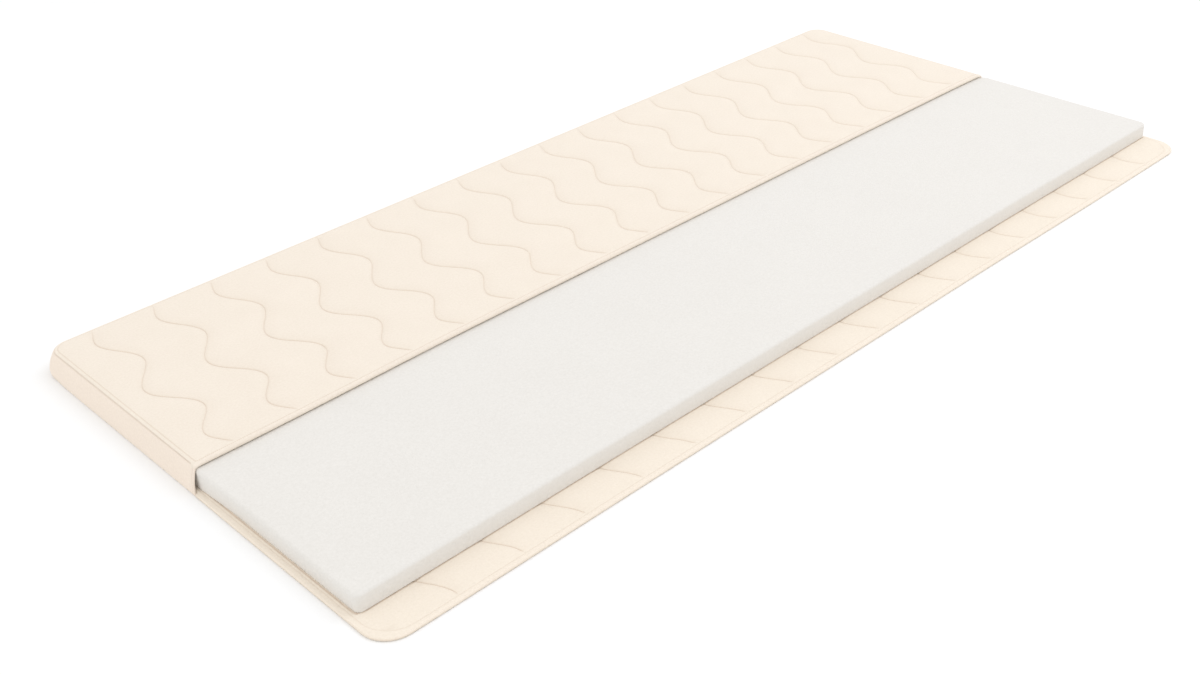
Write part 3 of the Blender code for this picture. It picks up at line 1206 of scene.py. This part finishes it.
        # Painted shade along the seam, where the sheet doesn't lap over the wall
        painted_shades = np.maximum(painted_shades, self.seam_painted_shade.at(depth) * free)
        return np.where(run < 1.0, middle + (z - middle) * arc, z), painted_shades

    def underside(self, depth: Array, behind: Array) -> Array:
        """Return the height of the lower face: on the wall at the seam, lower over the foam.

        Args:
            depth: Distances in from the seam.
            behind: Distances behind the cut.

        Returns:
            Heights.
        """
        run = np.clip((depth - self.edge_run) / (self.under_run - self.edge_run), 0.0, 1.0)
        lift = self.hem_lift * (1.0 - ease(behind, self.hem_under))
        drop = self.under + lift - self.edge_under
        return self.edge_under + drop * np.maximum(run, self.wrap(behind))

    def rows(self, inner: RoundedPlan) -> Array:
        """Return y of each row, close together over the hem and round the back corners.

        Args:
            inner: Outline of the part of the sheet that the rows cover.

        Returns:
            Places from the cut to the back.
        """
        fold = self.cut + corner_depths(self.fold_round, self.fold_steps)
        hem = self.cut + self.hem_width + np.array(self.hem_rows) * MM
        back = (inner.back - corner_depths(inner.back_radius, self.corner_steps))[::-1]
        return np.concatenate([fold, hem, spread(hem[-1], back[0], self.row_step), back[1:]])

    def build(self) -> Piece:
        """Make the sheet.

        Returns:
            The piece.
        """
        mesh = ClothMesh()
        inner = self.edge.shrunk(self.band)
        y_rows = self.rows(inner)
        grid = self.put_grid(mesh, y_rows, inner.half_length(y_rows))
        chains = [np.concatenate([grid[:-1, 0], grid[-1], grid[:-1, -1][::-1]])]
        side = np.stack([-inner.half_length(y_rows[:-1]), y_rows[:-1]], axis=1)
        away = inner.outward(*side.T)
        back_half = np.array([inner.half - inner.back_radius])
        for depth in np.array(self.band_depths) * MM:
            left = side + away * (self.band - depth)
            back_y = np.array([self.edge.back - depth])
            back_x = self.column_rows(back_y, back_half)[0]
            back = np.stack([back_x, np.repeat(back_y, len(back_x))], axis=1)
            chain = np.concatenate([left, back, (left * (-1.0, 1.0))[::-1]])
            chains.append(mesh.join(chains[-1], self.put_on_face(mesh, *chain.T)))
        front_left = [chain[0] for chain in reversed(chains[1:])]
        front_right = [chain[-1] for chain in chains[1:]]
        self.turn_under(mesh, np.concatenate([front_left, grid[0], front_right, chains[-1][-2:0:-1]]))
        return mesh.build("top_cover", TOP_FINISH.material())

    def turn_under(self, mesh: ClothMesh, loop: Array) -> None:
        """Close the sheet below: round under the fold, and over the seam near the cut.

        Args:
            mesh: The mesh.
            loop: Numbers of the points round the sheet's outermost line.
        """
        x, y = mesh.cloth_of(loop).T
        z = mesh.points_of(loop)[:, 2]
        depth = np.clip(self.edge.depth(x, y), 0.0, self.band)
        behind = np.maximum(0.0, y - self.cut)
        away = self.edge.outward(x, y)
        away[depth > TINY] = 0.0
        held = (behind < TINY) & (depth > TINY) & (depth < self.band - TINY)
        away[held, 0] = np.sign(x[held])
        wrap = self.wrap(behind) * np.clip(1.0 - depth / self.wrap_reach, 0.0, 1.0)
        at_front = np.clip(1.0 - behind / self.fold_fade, 0.0, 1.0)
        at_side = 1.0 - depth / self.band
        rings = []
        for ring in self.under_rings:
            turn = math.radians(ring.angle)
            shift = ring.out * wrap - ring.inset * at_side * (1.0 - wrap)
            plain_z = z - (z - self.underside(depth + ring.inset, behind)) * math.sin(turn)
            ring_z = plain_z + (z - ring.fall - plain_z) * wrap
            rings.append((shift, self.fold_round * (1.0 - math.cos(turn)), ring_z))
        rings.append((-self.under_run * at_side, self.hem_under, np.full(len(x), self.under)))
        for shift, back, ring_z in rings:
            ring_y = y + away[:, 1] * shift + back * at_front
            numbers = self.put(mesh, x + away[:, 0] * shift, ring_y, ring_z, np.zeros(len(x)))
            loop = mesh.join(loop, numbers, closed=True)
        mesh.cap(loop)

    def topstitching(self) -> list[Array]:
        """Return the line sewn round the sheet just inside its seam and along its hem."""
        return [self.on_face(self.stitch.path(self.sewn_step))]


@dataclass
class BottomCover(QuiltedSheet):
    """Quilted sheet under everything, its loose front half hemmed with round corners.

    Its front edge doesn't lie quite straight, and where the foam's foot stands on it a painted shadow runs
    along the foot.
    """

    sewn: tuple[Trough, ...] = (Trough(0.60 * MM, 2.6 * MM), Trough(0.45 * MM, 9.0 * MM))
    wide: Trough = Trough(0.7 * MM, 0.028)
    stitched: Trough = Trough(0.30 * MM, 2.2 * MM)
    # Painted shade in the hem's stitched groove, and painted shadow along the foam's foot
    stitch_painted_shade: Trough = Trough(0.35, 1.6 * MM)
    foot_painted_shadow: Trough = Trough(0.90, 2.6 * MM)
    unevenness: float = 0.2 * MM
    quilt_fade: float = 0.010
    corner: float = 0.045
    tuck: float = 3.7 * MM
    lean: float = 12.3 * MM
    cut: float = -9.0 * MM
    foam_front: float = -0.395
    sewn_under: float = 2.0 * MM
    thickness: float = 4.7 * MM
    edge_round: float = 2.35 * MM
    stitch_inset: float = 9.4 * MM
    stitch_corner: float = 0.050
    hem_swell: float = 0.15 * MM
    # Painted shade on the lower half of the rolled outer rim
    rim_painted_shade: float = 0.30
    slack_all: float = 0.8 * MM
    slack_in: float = 1.3 * MM
    slack_in_x: float = -0.45
    slack_in_width: float = 0.35
    slack_out: float = 3.1 * MM
    slack_out_x: float = 0.25
    slack_out_rise: float = 0.45
    slack_y: float = -0.400
    slack_run: float = 0.040
    band: float = 0.016
    band_depths: tuple[float, ...] = (
        15.2, 14.4, 13.6, 12.8, 12.0, 11.2, 10.5, 9.9, 9.4, 8.9, 8.3, 7.4, 6.4, 5.2, 4.1, 3.1,
    )
    rim_turns: tuple[float, ...] = (
        90.0, 75.0, 60.0, 45.0, 30.0, 15.0, 0.0, -22.0, -45.0, -68.0, -90.0,
    )
    front_steps: int = 10
    back_steps: int = 5
    strip_step: float = 3.5 * MM
    foot_y: float = -0.398
    foot_band: float = 4.0 * MM
    foot_step: float = 0.7 * MM
    side_step: float = 10.0 * MM
    side_gap: float = 0.6 * MM
    hidden_step: float = 60.0 * MM
    foam: FoamSlab = field(default_factory=FoamSlab)

    def __post_init__(self) -> None:
        """Take the sheet's outline from its solid, and set its lines."""
        low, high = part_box(Node.BOTTOM.value)
        self.edge = RoundedPlan(high.x, low.y, high.y, self.corner, self.corner)
        self.stitch = RoundedPlan(
            high.x - self.stitch_inset,
            low.y + self.stitch_inset,
            high.y + BEYOND,
            self.stitch_corner,
            0.0,
        )
        self.sewn_to = self.foam_front + self.sewn_under
        self.wall_y = self.cut - self.lean
        self.quilt = EvenWaves(
            count=17,
            first=-0.8860,
            pitch=0.1142,
            ease_in=0.0005,
            front=low.y,
            half_wave=0.0880,
            side=(0.0166, 0.0147),
            turn=(0.1043, 0.0538),
        )

    def face(self, x: Array, y: Array) -> tuple[Array, Array]:
        """Return the upper face.

        Args:
            x: Places along the length.
            y: Places across the width.

        Returns:
            Heights, and the strength of the painted shade along the sewing and the painted shadow at the
            foam's foot.
        """
        inside = self.stitch.depth(x, y)
        fade = ease(inside, self.quilt_fade)
        sewing, painted_shades = self.sewing(x, y, fade, fade)
        hem = self.hem_swell * np.sin(math.pi * np.clip(-inside / self.stitch_inset, 0.0, 1.0))
        # Painted shadow along the foam's foot
        foot = self.foam.foot_gap(x, self.moved(x, y))
        return self.thickness + sewing + hem, np.maximum(painted_shades, self.foot_painted_shadow.at(foot))

    def moved(self, x: Array, y: Array) -> Array:
        """Return y of the loose front strip as it lies.

        Args:
            x: Places along the length.
            y: Places across the width, with a straight edge.

        Returns:
            Places across the width.
        """
        inwards = self.slack_in * np.exp(-(((x - self.slack_in_x) / self.slack_in_width) ** 2))
        outwards = self.slack_out * ease(x - self.slack_out_x, self.slack_out_rise)
        return y + (inwards - outwards - self.slack_all) * ease(self.slack_y - y, self.slack_run)

    def rows(self, inner: RoundedPlan) -> Array:
        """Return y of each row, close together on the strip that shows and at the foam's foot.

        Args:
            inner: Outline of the part of the sheet that the rows cover.

        Returns:
            Places from front to back.
        """
        front = inner.front + corner_depths(inner.front_radius, self.front_steps)
        strip = spread(front[-1], self.foot_y - self.foot_band, self.strip_step)
        dense = spread(strip[-1], self.foot_y + self.foot_band, self.foot_step)
        side = spread(dense[-1], self.wall_y - self.side_gap, self.side_step)
        back = (inner.back - corner_depths(inner.back_radius, self.back_steps))[::-1]
        hidden = spread(self.wall_y, back[0], self.hidden_step)
        return np.concatenate([front, strip, dense, side, [self.wall_y], hidden, back[1:]])

    def build(self) -> Piece:
        """Make the sheet, stepped in where it lies inside the side wall.

        Returns:
            The piece.
        """
        mesh = ClothMesh()
        inner = self.edge.shrunk(self.band)
        y_rows = self.rows(inner)
        grid = self.put_grid(mesh, y_rows, inner.half_length(y_rows))
        loop = np.concatenate([grid[0], grid[1:-1, -1], grid[-1][::-1], grid[1:-1, 0][::-1]])
        base = mesh.cloth_of(loop)
        hidden = base[:, 1] > self.wall_y - NEAR
        reach = np.where(hidden, (self.band - self.tuck) / self.band, 1.0)
        away = inner.outward(*base.T) * reach[:, None]
        for depth in np.array(self.band_depths) * MM:
            ring = self.put_on_face(mesh, *(base + away * (self.band - depth)).T)
            loop = mesh.join(loop, ring, closed=True)
        middle = 0.5 * self.thickness
        for turn in np.radians(self.rim_turns):
            depth = self.edge_round * (1.0 - math.cos(turn))
            x, y = (base + away * (self.band - depth)).T
            half = self.face(x, y)[0] - middle if turn > 0.0 else middle
            # Painted shade on the rim, strongest on its lower half
            painted_shades = np.full(len(x), self.rim_painted_shade * min(1.0, 1.0 - math.sin(turn)))
            z = middle + half * math.sin(turn)
            ring = self.put(mesh, x, y, np.broadcast_to(z, x.shape), painted_shades)
            loop = mesh.join(loop, ring, closed=True)
        mesh.cap(loop)
        return mesh.build("bottom_cover", BOTTOM_FINISH.material())

    def topstitching(self) -> list[Array]:
        """Return the hem's sewn line, in two runs from the front's middle to the side wall.

        Returns:
            The two runs, as arrays of points.
        """
        hem = self.stitch.path(self.sewn_step)
        half = len(hem) // 2
        return [self.on_face(run[run[:, 1] < self.wall_y]) for run in (hem[:half], hem[half:])]


@dataclass
class SideWall:
    """Strip of plain cloth stood on edge, leaning in to the seam, with both cut ends hemmed."""

    corner: float = 0.045
    corner_fade: float = 0.05
    thickness: float = 3.4 * MM
    seam_inset: float = 14.5 * MM
    seam_gap: float = 0.35 * MM
    end_lean: float = 12.0 * MM
    lean_run: float = 0.060
    corner_tuck: float = 4.5 * MM
    straight_tuck: float = 0.6 * MM
    tuck_height: float = 11.0 * MM
    bulge: float = 0.4 * MM
    unevenness: float = 0.7 * MM
    wave_along: float = 1.3
    wave_up: float = 0.2
    hem_width: float = 3.8 * MM
    hem_swell: float = 0.3 * MM
    hem_trough: Trough = Trough(0.35 * MM, 1.8 * MM)
    # Painted shade in the hem's stitched groove at each cut end, and along the top by the seam
    hem_painted_shade: Trough = Trough(0.50, 1.6 * MM)
    top_painted_shade: Trough = Trough(0.45, 1.3 * MM)
    levels: int = 26
    even_levels: float = 0.35
    end_steps: tuple[float, ...] = (
        0.0, 0.1, 0.4, 0.9, 1.7, 2.4, 3.0, 3.4, 3.8, 4.2, 4.7, 5.6, 7.0, 9.5, 13.0, 18.0, 25.0, 34.0,
    )
    station_step: float = 9.0 * MM
    corner_steps: int = 14
    slope_step: float = 0.05 * MM
    hidden_shift: float = 0.1
    bare_levels: int = 3

    def __post_init__(self) -> None:
        """Take the wall's reach from its solid."""
        low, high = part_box(Node.WALL.value)
        self.half = high.x
        self.back = high.y
        self.seam_z = high.z
        self.arc = 0.5 * math.pi * self.corner
        self.side_run = high.y - self.corner - (low.y + self.end_lean)
        self.length = 2.0 * (self.side_run + self.arc + high.x - self.corner)

    def path(self, run: float) -> tuple[Array, Array, float]:
        """Follow the footprint from the left cut end.

        Args:
            run: Distance along the footprint.

        Returns:
            The point one corner radius inside the footprint, the outward direction, and how
            much of a corner the place is, from 0 to 1.
        """
        mirror = -1.0 if run > 0.5 * self.length else 1.0
        run = min(run, self.length - run)
        before, past = self.side_run - run, run - self.side_run - self.arc
        angle = min(max(0.0, -before / self.corner), 0.5 * math.pi)
        x = self.corner - self.half + max(0.0, past)
        y = self.back - self.corner - max(0.0, before)
        near_corner = 1.0 - float(ease(max(before, past), self.corner_fade))
        way = np.array([-math.cos(angle) * mirror, math.sin(angle)])
        return np.array([x * mirror, y]), way, 0.5 * near_corner + 0.5 * math.sin(2.0 * angle)

    def outer(self, z: Array, turn: float) -> Array:
        """Return the distance inwards from the footprint to the outer face.

        Args:
            z: Heights.
            turn: How much of a corner the place is.

        Returns:
            Insets.
        """
        tuck = self.straight_tuck + (self.corner_tuck - self.straight_tuck) * turn
        lean = self.seam_inset * (np.maximum(0.0, z) / self.seam_z) ** 2
        return lean + Trough(tuck, self.tuck_height).at(z)

    def section(self, turn: float) -> tuple[Array, Array, Array]:
        """Return the wall's middle line from foot to seam.

        Args:
            turn: How much of a corner the place is.

        Returns:
            Points as (inset, z), inward unit normals, and half the thickness at each.
        """
        even = np.linspace(0.0, 1.0, self.levels)
        to_ends = 0.5 - 0.5 * np.cos(math.pi * even)
        share = self.even_levels * even + (1.0 - self.even_levels) * to_ends
        z = (self.seam_z - self.seam_gap) * share
        step = self.slope_step
        slope = (self.outer(z + step, turn) - self.outer(z - step, turn)) / (2.0 * step)
        normal = np.stack([np.ones_like(slope), -slope], axis=1) / np.hypot(1.0, slope)[:, None]
        skin = np.stack([self.outer(z, turn), z], axis=1)
        middle = skin + normal * 0.5 * self.thickness
        middle[:, 1] = np.maximum(middle[:, 1], 0.0)
        runs = np.concatenate([[0.0], np.cumsum(np.linalg.norm(np.diff(skin, axis=0), axis=1))])
        from_end = np.minimum(runs, runs[-1] - runs)
        short = np.clip(1.0 - from_end / (0.5 * self.thickness), 0.0, 1.0)
        return middle, normal, 0.5 * self.thickness * np.sqrt(1.0 - short**2)

    def ring(self, run: float) -> tuple[Array, Array]:
        """Return one upright section of the wall.

        Args:
            run: Distance along the footprint from the left cut end.

        Returns:
            The outer and the inner face's points, from foot to seam.
        """
        centre, way, turn = self.path(run)
        middle, normal, half = self.section(turn)
        from_end = min(run, self.length - run)
        half = half * math.sqrt(1.0 - max(0.0, 1.0 - from_end / (0.5 * self.thickness)) ** 2)
        swell = self.hem_swell * math.sin(math.pi * min(1.0, from_end / self.hem_width))
        half = half + (swell - self.hem_trough.at(from_end - self.hem_width)) * (half > 0.0)
        height = middle[:, 1] / self.seam_z
        run_wave = np.full(len(height), self.wave_along * run)
        wave = unevenness(run_wave, self.wave_up * height, self.unevenness)
        middle[:, 0] += (wave + self.bulge) * np.sin(math.pi * np.clip(height, 0.0, 1.0))
        lean = self.end_lean * (1.0 - ease(from_end, self.lean_run))
        faces = []
        for side in (-1.0, 1.0):
            inset, z = (middle + normal * (side * half)[:, None]).T
            x, y = centre[:, None] + way[:, None] * (self.corner - inset)
            y = y - lean * np.clip(1.0 - z / self.seam_z, 0.0, 1.0)
            faces.append(np.stack([x, y, np.maximum(z, 0.0)], axis=1))
        return faces[0], faces[1]

    def runs(self) -> Array:
        """Return the places of the sections along the footprint.

        Returns:
            Distances from the left cut end.
        """
        ends = np.array(self.end_steps) * MM
        straight = spread(ends[-1], self.side_run, self.station_step)
        arc = spread(self.side_run, self.side_run + self.arc, self.arc / self.corner_steps)
        middle = spread(arc[-1], 0.5 * self.length, 2.0 * self.station_step)
        half = np.concatenate([ends, straight, arc, middle])
        return np.concatenate([half, self.length - half[-2::-1]])

    def build(self) -> Piece:
        """Make the wall.

        Returns:
            The piece.
        """
        mesh = ClothMesh()
        runs = self.runs()
        outer, inner = np.array([self.ring(run) for run in runs]).transpose(1, 0, 2, 3)
        along = np.repeat(runs[:, None], self.levels, axis=1)
        up = np.cumsum(np.linalg.norm(np.diff(outer, axis=1, prepend=outer[:, :1]), axis=2), axis=1)
        from_end = np.minimum(along, self.length - along)
        # Painted shade along the hem stitching at the cut ends and under the seam
        hem = self.hem_painted_shade.at(from_end - self.hem_width)
        cloth = np.stack([along, up], axis=-1)
        outer_numbers = mesh.add(outer, cloth, np.maximum(hem, self.top_painted_shade.at(up[:, -1:] - up)))
        inner_numbers = outer_numbers.copy()
        hidden = cloth[1:-1, 1:-1] + (0.0, self.hidden_shift)
        inner_numbers[1:-1, 1:-1] = mesh.add(inner[1:-1, 1:-1], hidden, np.zeros(hidden.shape[:2]))
        mesh.join_rows(outer_numbers)
        mesh.join_rows(inner_numbers[:, ::-1])
        return mesh.build("side_wall", WALL_FINISH.material())

    def topstitching(self) -> list[Array]:
        """Return the sewn line up each cut end, as arrays of points on the outer face."""
        ends = (self.hem_width, self.length - self.hem_width)
        return [self.ring(run)[0][self.bare_levels:-self.bare_levels] for run in ends]


# ---------------------------------------------------------------------------------------------
# Sewn threads


@dataclass
class Stitches:
    """Runs of equal stitches along sewn lines, every stitch a copy of one modelled thread."""

    pitch: float = 3.3 * MM
    length: float = 2.7 * MM
    width: float = 0.55 * MM
    rise: float = 0.05 * MM
    end_sink: float = 0.30 * MM
    end_reach: float = 0.45
    sides: int = 5
    rings: int = 3

    def one_stitch(self) -> tuple[Array, list[list[int]]]:
        """Model one stitch along x about the origin.

        Returns:
            Its points and its faces.
        """
        bpy.ops.object.select_all(action="DESELECT")
        bpy.ops.mesh.primitive_uv_sphere_add(
            segments=self.sides, ring_count=self.rings, radius=0.5 * self.width
        )
        stitch = bpy.context.object
        mesh = stitch.data
        about = {"center_override": (0.0, 0.0, 0.0)}
        bpy.ops.object.mode_set(mode="EDIT")
        bpy.ops.mesh.select_all(action="SELECT")
        bpy.ops.transform.rotate(value=0.5 * math.pi, orient_axis="Y", orient_type="GLOBAL", **about)
        bpy.ops.transform.resize(value=(self.length / self.width, 1.0, 1.0), **about)
        bpy.ops.object.mode_set(mode="OBJECT")
        points = np.array([vertex.co[:] for vertex in mesh.vertices])
        points[np.abs(points[:, 0]) > self.end_reach * self.length, 2] -= self.end_sink
        faces = [list(face.vertices) for face in mesh.polygons]
        bpy.data.objects.remove(stitch)
        bpy.data.meshes.remove(mesh)
        return points, faces

    def build(self, name: str, lines: list[Array], up: Array, material: bpy.types.Material) -> Piece:
        """Set stitches along sewn lines.

        Args:
            name: The piece's name.
            lines: The lines, as arrays of points.
            up: Direction that the stitches face.
            material: The thread's material.

        Returns:
            All the stitches as one piece.
        """
        shape, faces = self.one_stitch()
        copies = []
        for line in lines:
            places = resampled(line, self.pitch)
            along = np.diff(places, axis=0)
            along /= np.linalg.norm(along, axis=1)[:, None]
            side = np.cross(up, along)
            side /= np.linalg.norm(side, axis=1)[:, None]
            turned = np.stack([along, side, np.cross(along, side)], axis=1)
            middles = 0.5 * (places[:-1] + places[1:])
            copies.append(middles[:, None] + (shape + (0.0, 0.0, self.rise)) @ turned)
        points = np.concatenate(copies).reshape(-1, 3)
        starts = range(0, len(points), len(shape))
        copied = [[start + corner for corner in face] for start in starts for face in faces]
        return smooth_piece(name, points, copied, material)


# ---------------------------------------------------------------------------------------------
# Floor, light and camera


@dataclass(frozen=True)
class Lamp:
    """A broad square lamp that faces the origin, its power in watts."""

    name: str
    place: tuple[float, float, float]
    size: float
    power: float
    colour: tuple[float, float, float]

    def hang(self) -> None:
        """Set the lamp."""
        data = bpy.data.lights.new(self.name, "AREA")
        data.shape = "SQUARE"
        data.size = self.size
        data.energy = self.power
        data.color = self.colour
        lamp = bpy.data.objects.new(self.name, data)
        lamp.location = self.place
        lamp.rotation_mode = "QUATERNION"
        lamp.rotation_quaternion = (-Vector(self.place)).to_track_quat("-Z", "Y")
        bpy.context.scene.collection.objects.link(lamp)


@dataclass
class Studio:
    """A plain pale floor, a bright even sky with a soft lamp on either side, and the camera."""

    floor_half: float = 60.0
    floor_drop: float = 0.1 * MM
    sky_colour: Colour = (1.0, 1.0, 1.0, 1.0)
    sky_strength: float = 1.035
    key: Lamp = Lamp("key", place=(2.7, -1.4, 4.2), size=3.0, power=46.0, colour=(0.96, 0.99, 1.06))
    fill: Lamp = Lamp("fill", place=(-4.2, 0.6, 1.9), size=2.4, power=9.0, colour=(1.0, 0.95, 0.86))
    camera_place: tuple[float, float, float] = (-1.6826, -1.6402, 1.2674)
    camera_yaw: float = 47.523
    camera_pitch: float = 31.848
    camera_roll: float = -2.481
    lens_mm: float = 43.414
    sensor_mm: float = 36.0
    nearest: float = 0.01
    farthest: float = 100.0

    def floor(self) -> None:
        """Lay the floor."""
        bpy.ops.object.select_all(action="DESELECT")
        bpy.ops.mesh.primitive_plane_add(size=2.0 * self.floor_half, location=(0.0, 0.0, -self.floor_drop))
        floor = bpy.context.object
        floor.name = "floor"
        floor.data.materials.append(FloorFinish().material())

    def sky(self) -> None:
        """Set an even white sky."""
        world = bpy.data.worlds.new("sky")
        world.use_nodes = True
        background = world.node_tree.nodes["Background"]
        background.inputs["Color"].default_value = self.sky_colour
        background.inputs["Strength"].default_value = self.sky_strength
        bpy.context.scene.world = world

    def camera(self) -> None:
        """Set the camera where the photograph was taken from."""
        angles = (self.camera_yaw, self.camera_pitch, self.camera_roll)
        yaw, pitch, roll = (math.radians(angle) for angle in angles)
        level = math.cos(pitch)
        forward = Vector((math.cos(yaw) * level, math.sin(yaw) * level, -math.sin(pitch)))
        right = Vector((math.sin(yaw), -math.cos(yaw), 0.0))
        up = right.cross(forward)
        turned_right = right * math.cos(roll) + up * math.sin(roll)
        turned_up = up * math.cos(roll) - right * math.sin(roll)
        place = Matrix((turned_right, turned_up, -forward)).transposed().to_4x4()
        place.translation = self.camera_place
        data = bpy.data.cameras.new("camera")
        data.lens = self.lens_mm
        data.sensor_width = self.sensor_mm
        data.clip_start = self.nearest
        data.clip_end = self.farthest
        camera = bpy.data.objects.new("camera", data)
        camera.matrix_world = place
        bpy.context.scene.collection.objects.link(camera)
        bpy.context.scene.camera = camera

    def set_up(self) -> None:
        """Build the whole studio, with colours shown as they are."""
        self.floor()
        self.sky()
        self.key.hang()
        self.fill.hang()
        self.camera()
        bpy.context.scene.view_settings.view_transform = "Standard"
        bpy.context.scene.view_settings.look = "None"


# ---------------------------------------------------------------------------------------------
# The whole topper


def fasten(piece: Piece, slot: Slot, *nodes: Node) -> None:
    """Make a piece ride on the part, in place of the solids it stands for.

    Args:
        piece: The piece.
        slot: Its material slot. Not used.
        *nodes: Solids that it stands for.
    """
    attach(piece, "root")
    if nodes:
        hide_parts(*(node.value for node in nodes))
    LOG.info("%s: %d faces", piece.name, len(piece.data.polygons))


def build_topper() -> None:
    """Build and dress every piece of the topper."""
    top, bottom, wall = TopCover(), BottomCover(), SideWall()
    top_cover = top.build()
    bottom_cover = bottom.build()
    side_wall = wall.build()
    foam_slab = bottom.foam.build()
    fasten(top_cover, Slot.TOP, Node.TOP)
    fasten(bottom_cover, Slot.BOTTOM, Node.BOTTOM)
    fasten(side_wall, Slot.WALL, Node.WALL)
    fasten(foam_slab, Slot.FOAM, Node.FOAM)

    thread = THREAD_FINISH.material()
    sunk = Stitches(width=0.45 * MM, rise=-0.05 * MM)
    proud = Stitches(width=0.75 * MM, rise=0.10 * MM)
    level = np.array([0.0, 0.0, 1.0])
    left_out, right_out = np.array([-1.0, 0.0, 0.4]), np.array([1.0, 0.0, 0.4])
    wall_left, wall_right = wall.topstitching()
    threads = {
        Slot.TOP: [
            sunk.build("thread_top_quilting", top.quilting(), level, thread),
            proud.build("thread_top_edge", top.topstitching(), level, thread),
        ],
        Slot.BOTTOM: [
            sunk.build("thread_bottom_quilting", bottom.quilting(), level, thread),
            sunk.build("thread_bottom_edge", bottom.topstitching(), level, thread),
        ],
        Slot.WALL: [
            proud.build("thread_wall_left", [wall_left], left_out, thread),
            proud.build("thread_wall_right", [wall_right], right_out, thread),
        ],
    }
    for slot, pieces in threads.items():
        for piece in pieces:
            fasten(piece, slot)

    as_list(threads[Slot.TOP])
    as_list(threads[Slot.BOTTOM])
    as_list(threads[Slot.WALL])


def main() -> None:
    """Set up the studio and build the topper."""
    logging.basicConfig(level=logging.INFO, format="%(message)s")
    Studio().set_up()
    build_topper()


if __name__ == "__main__":
    main()
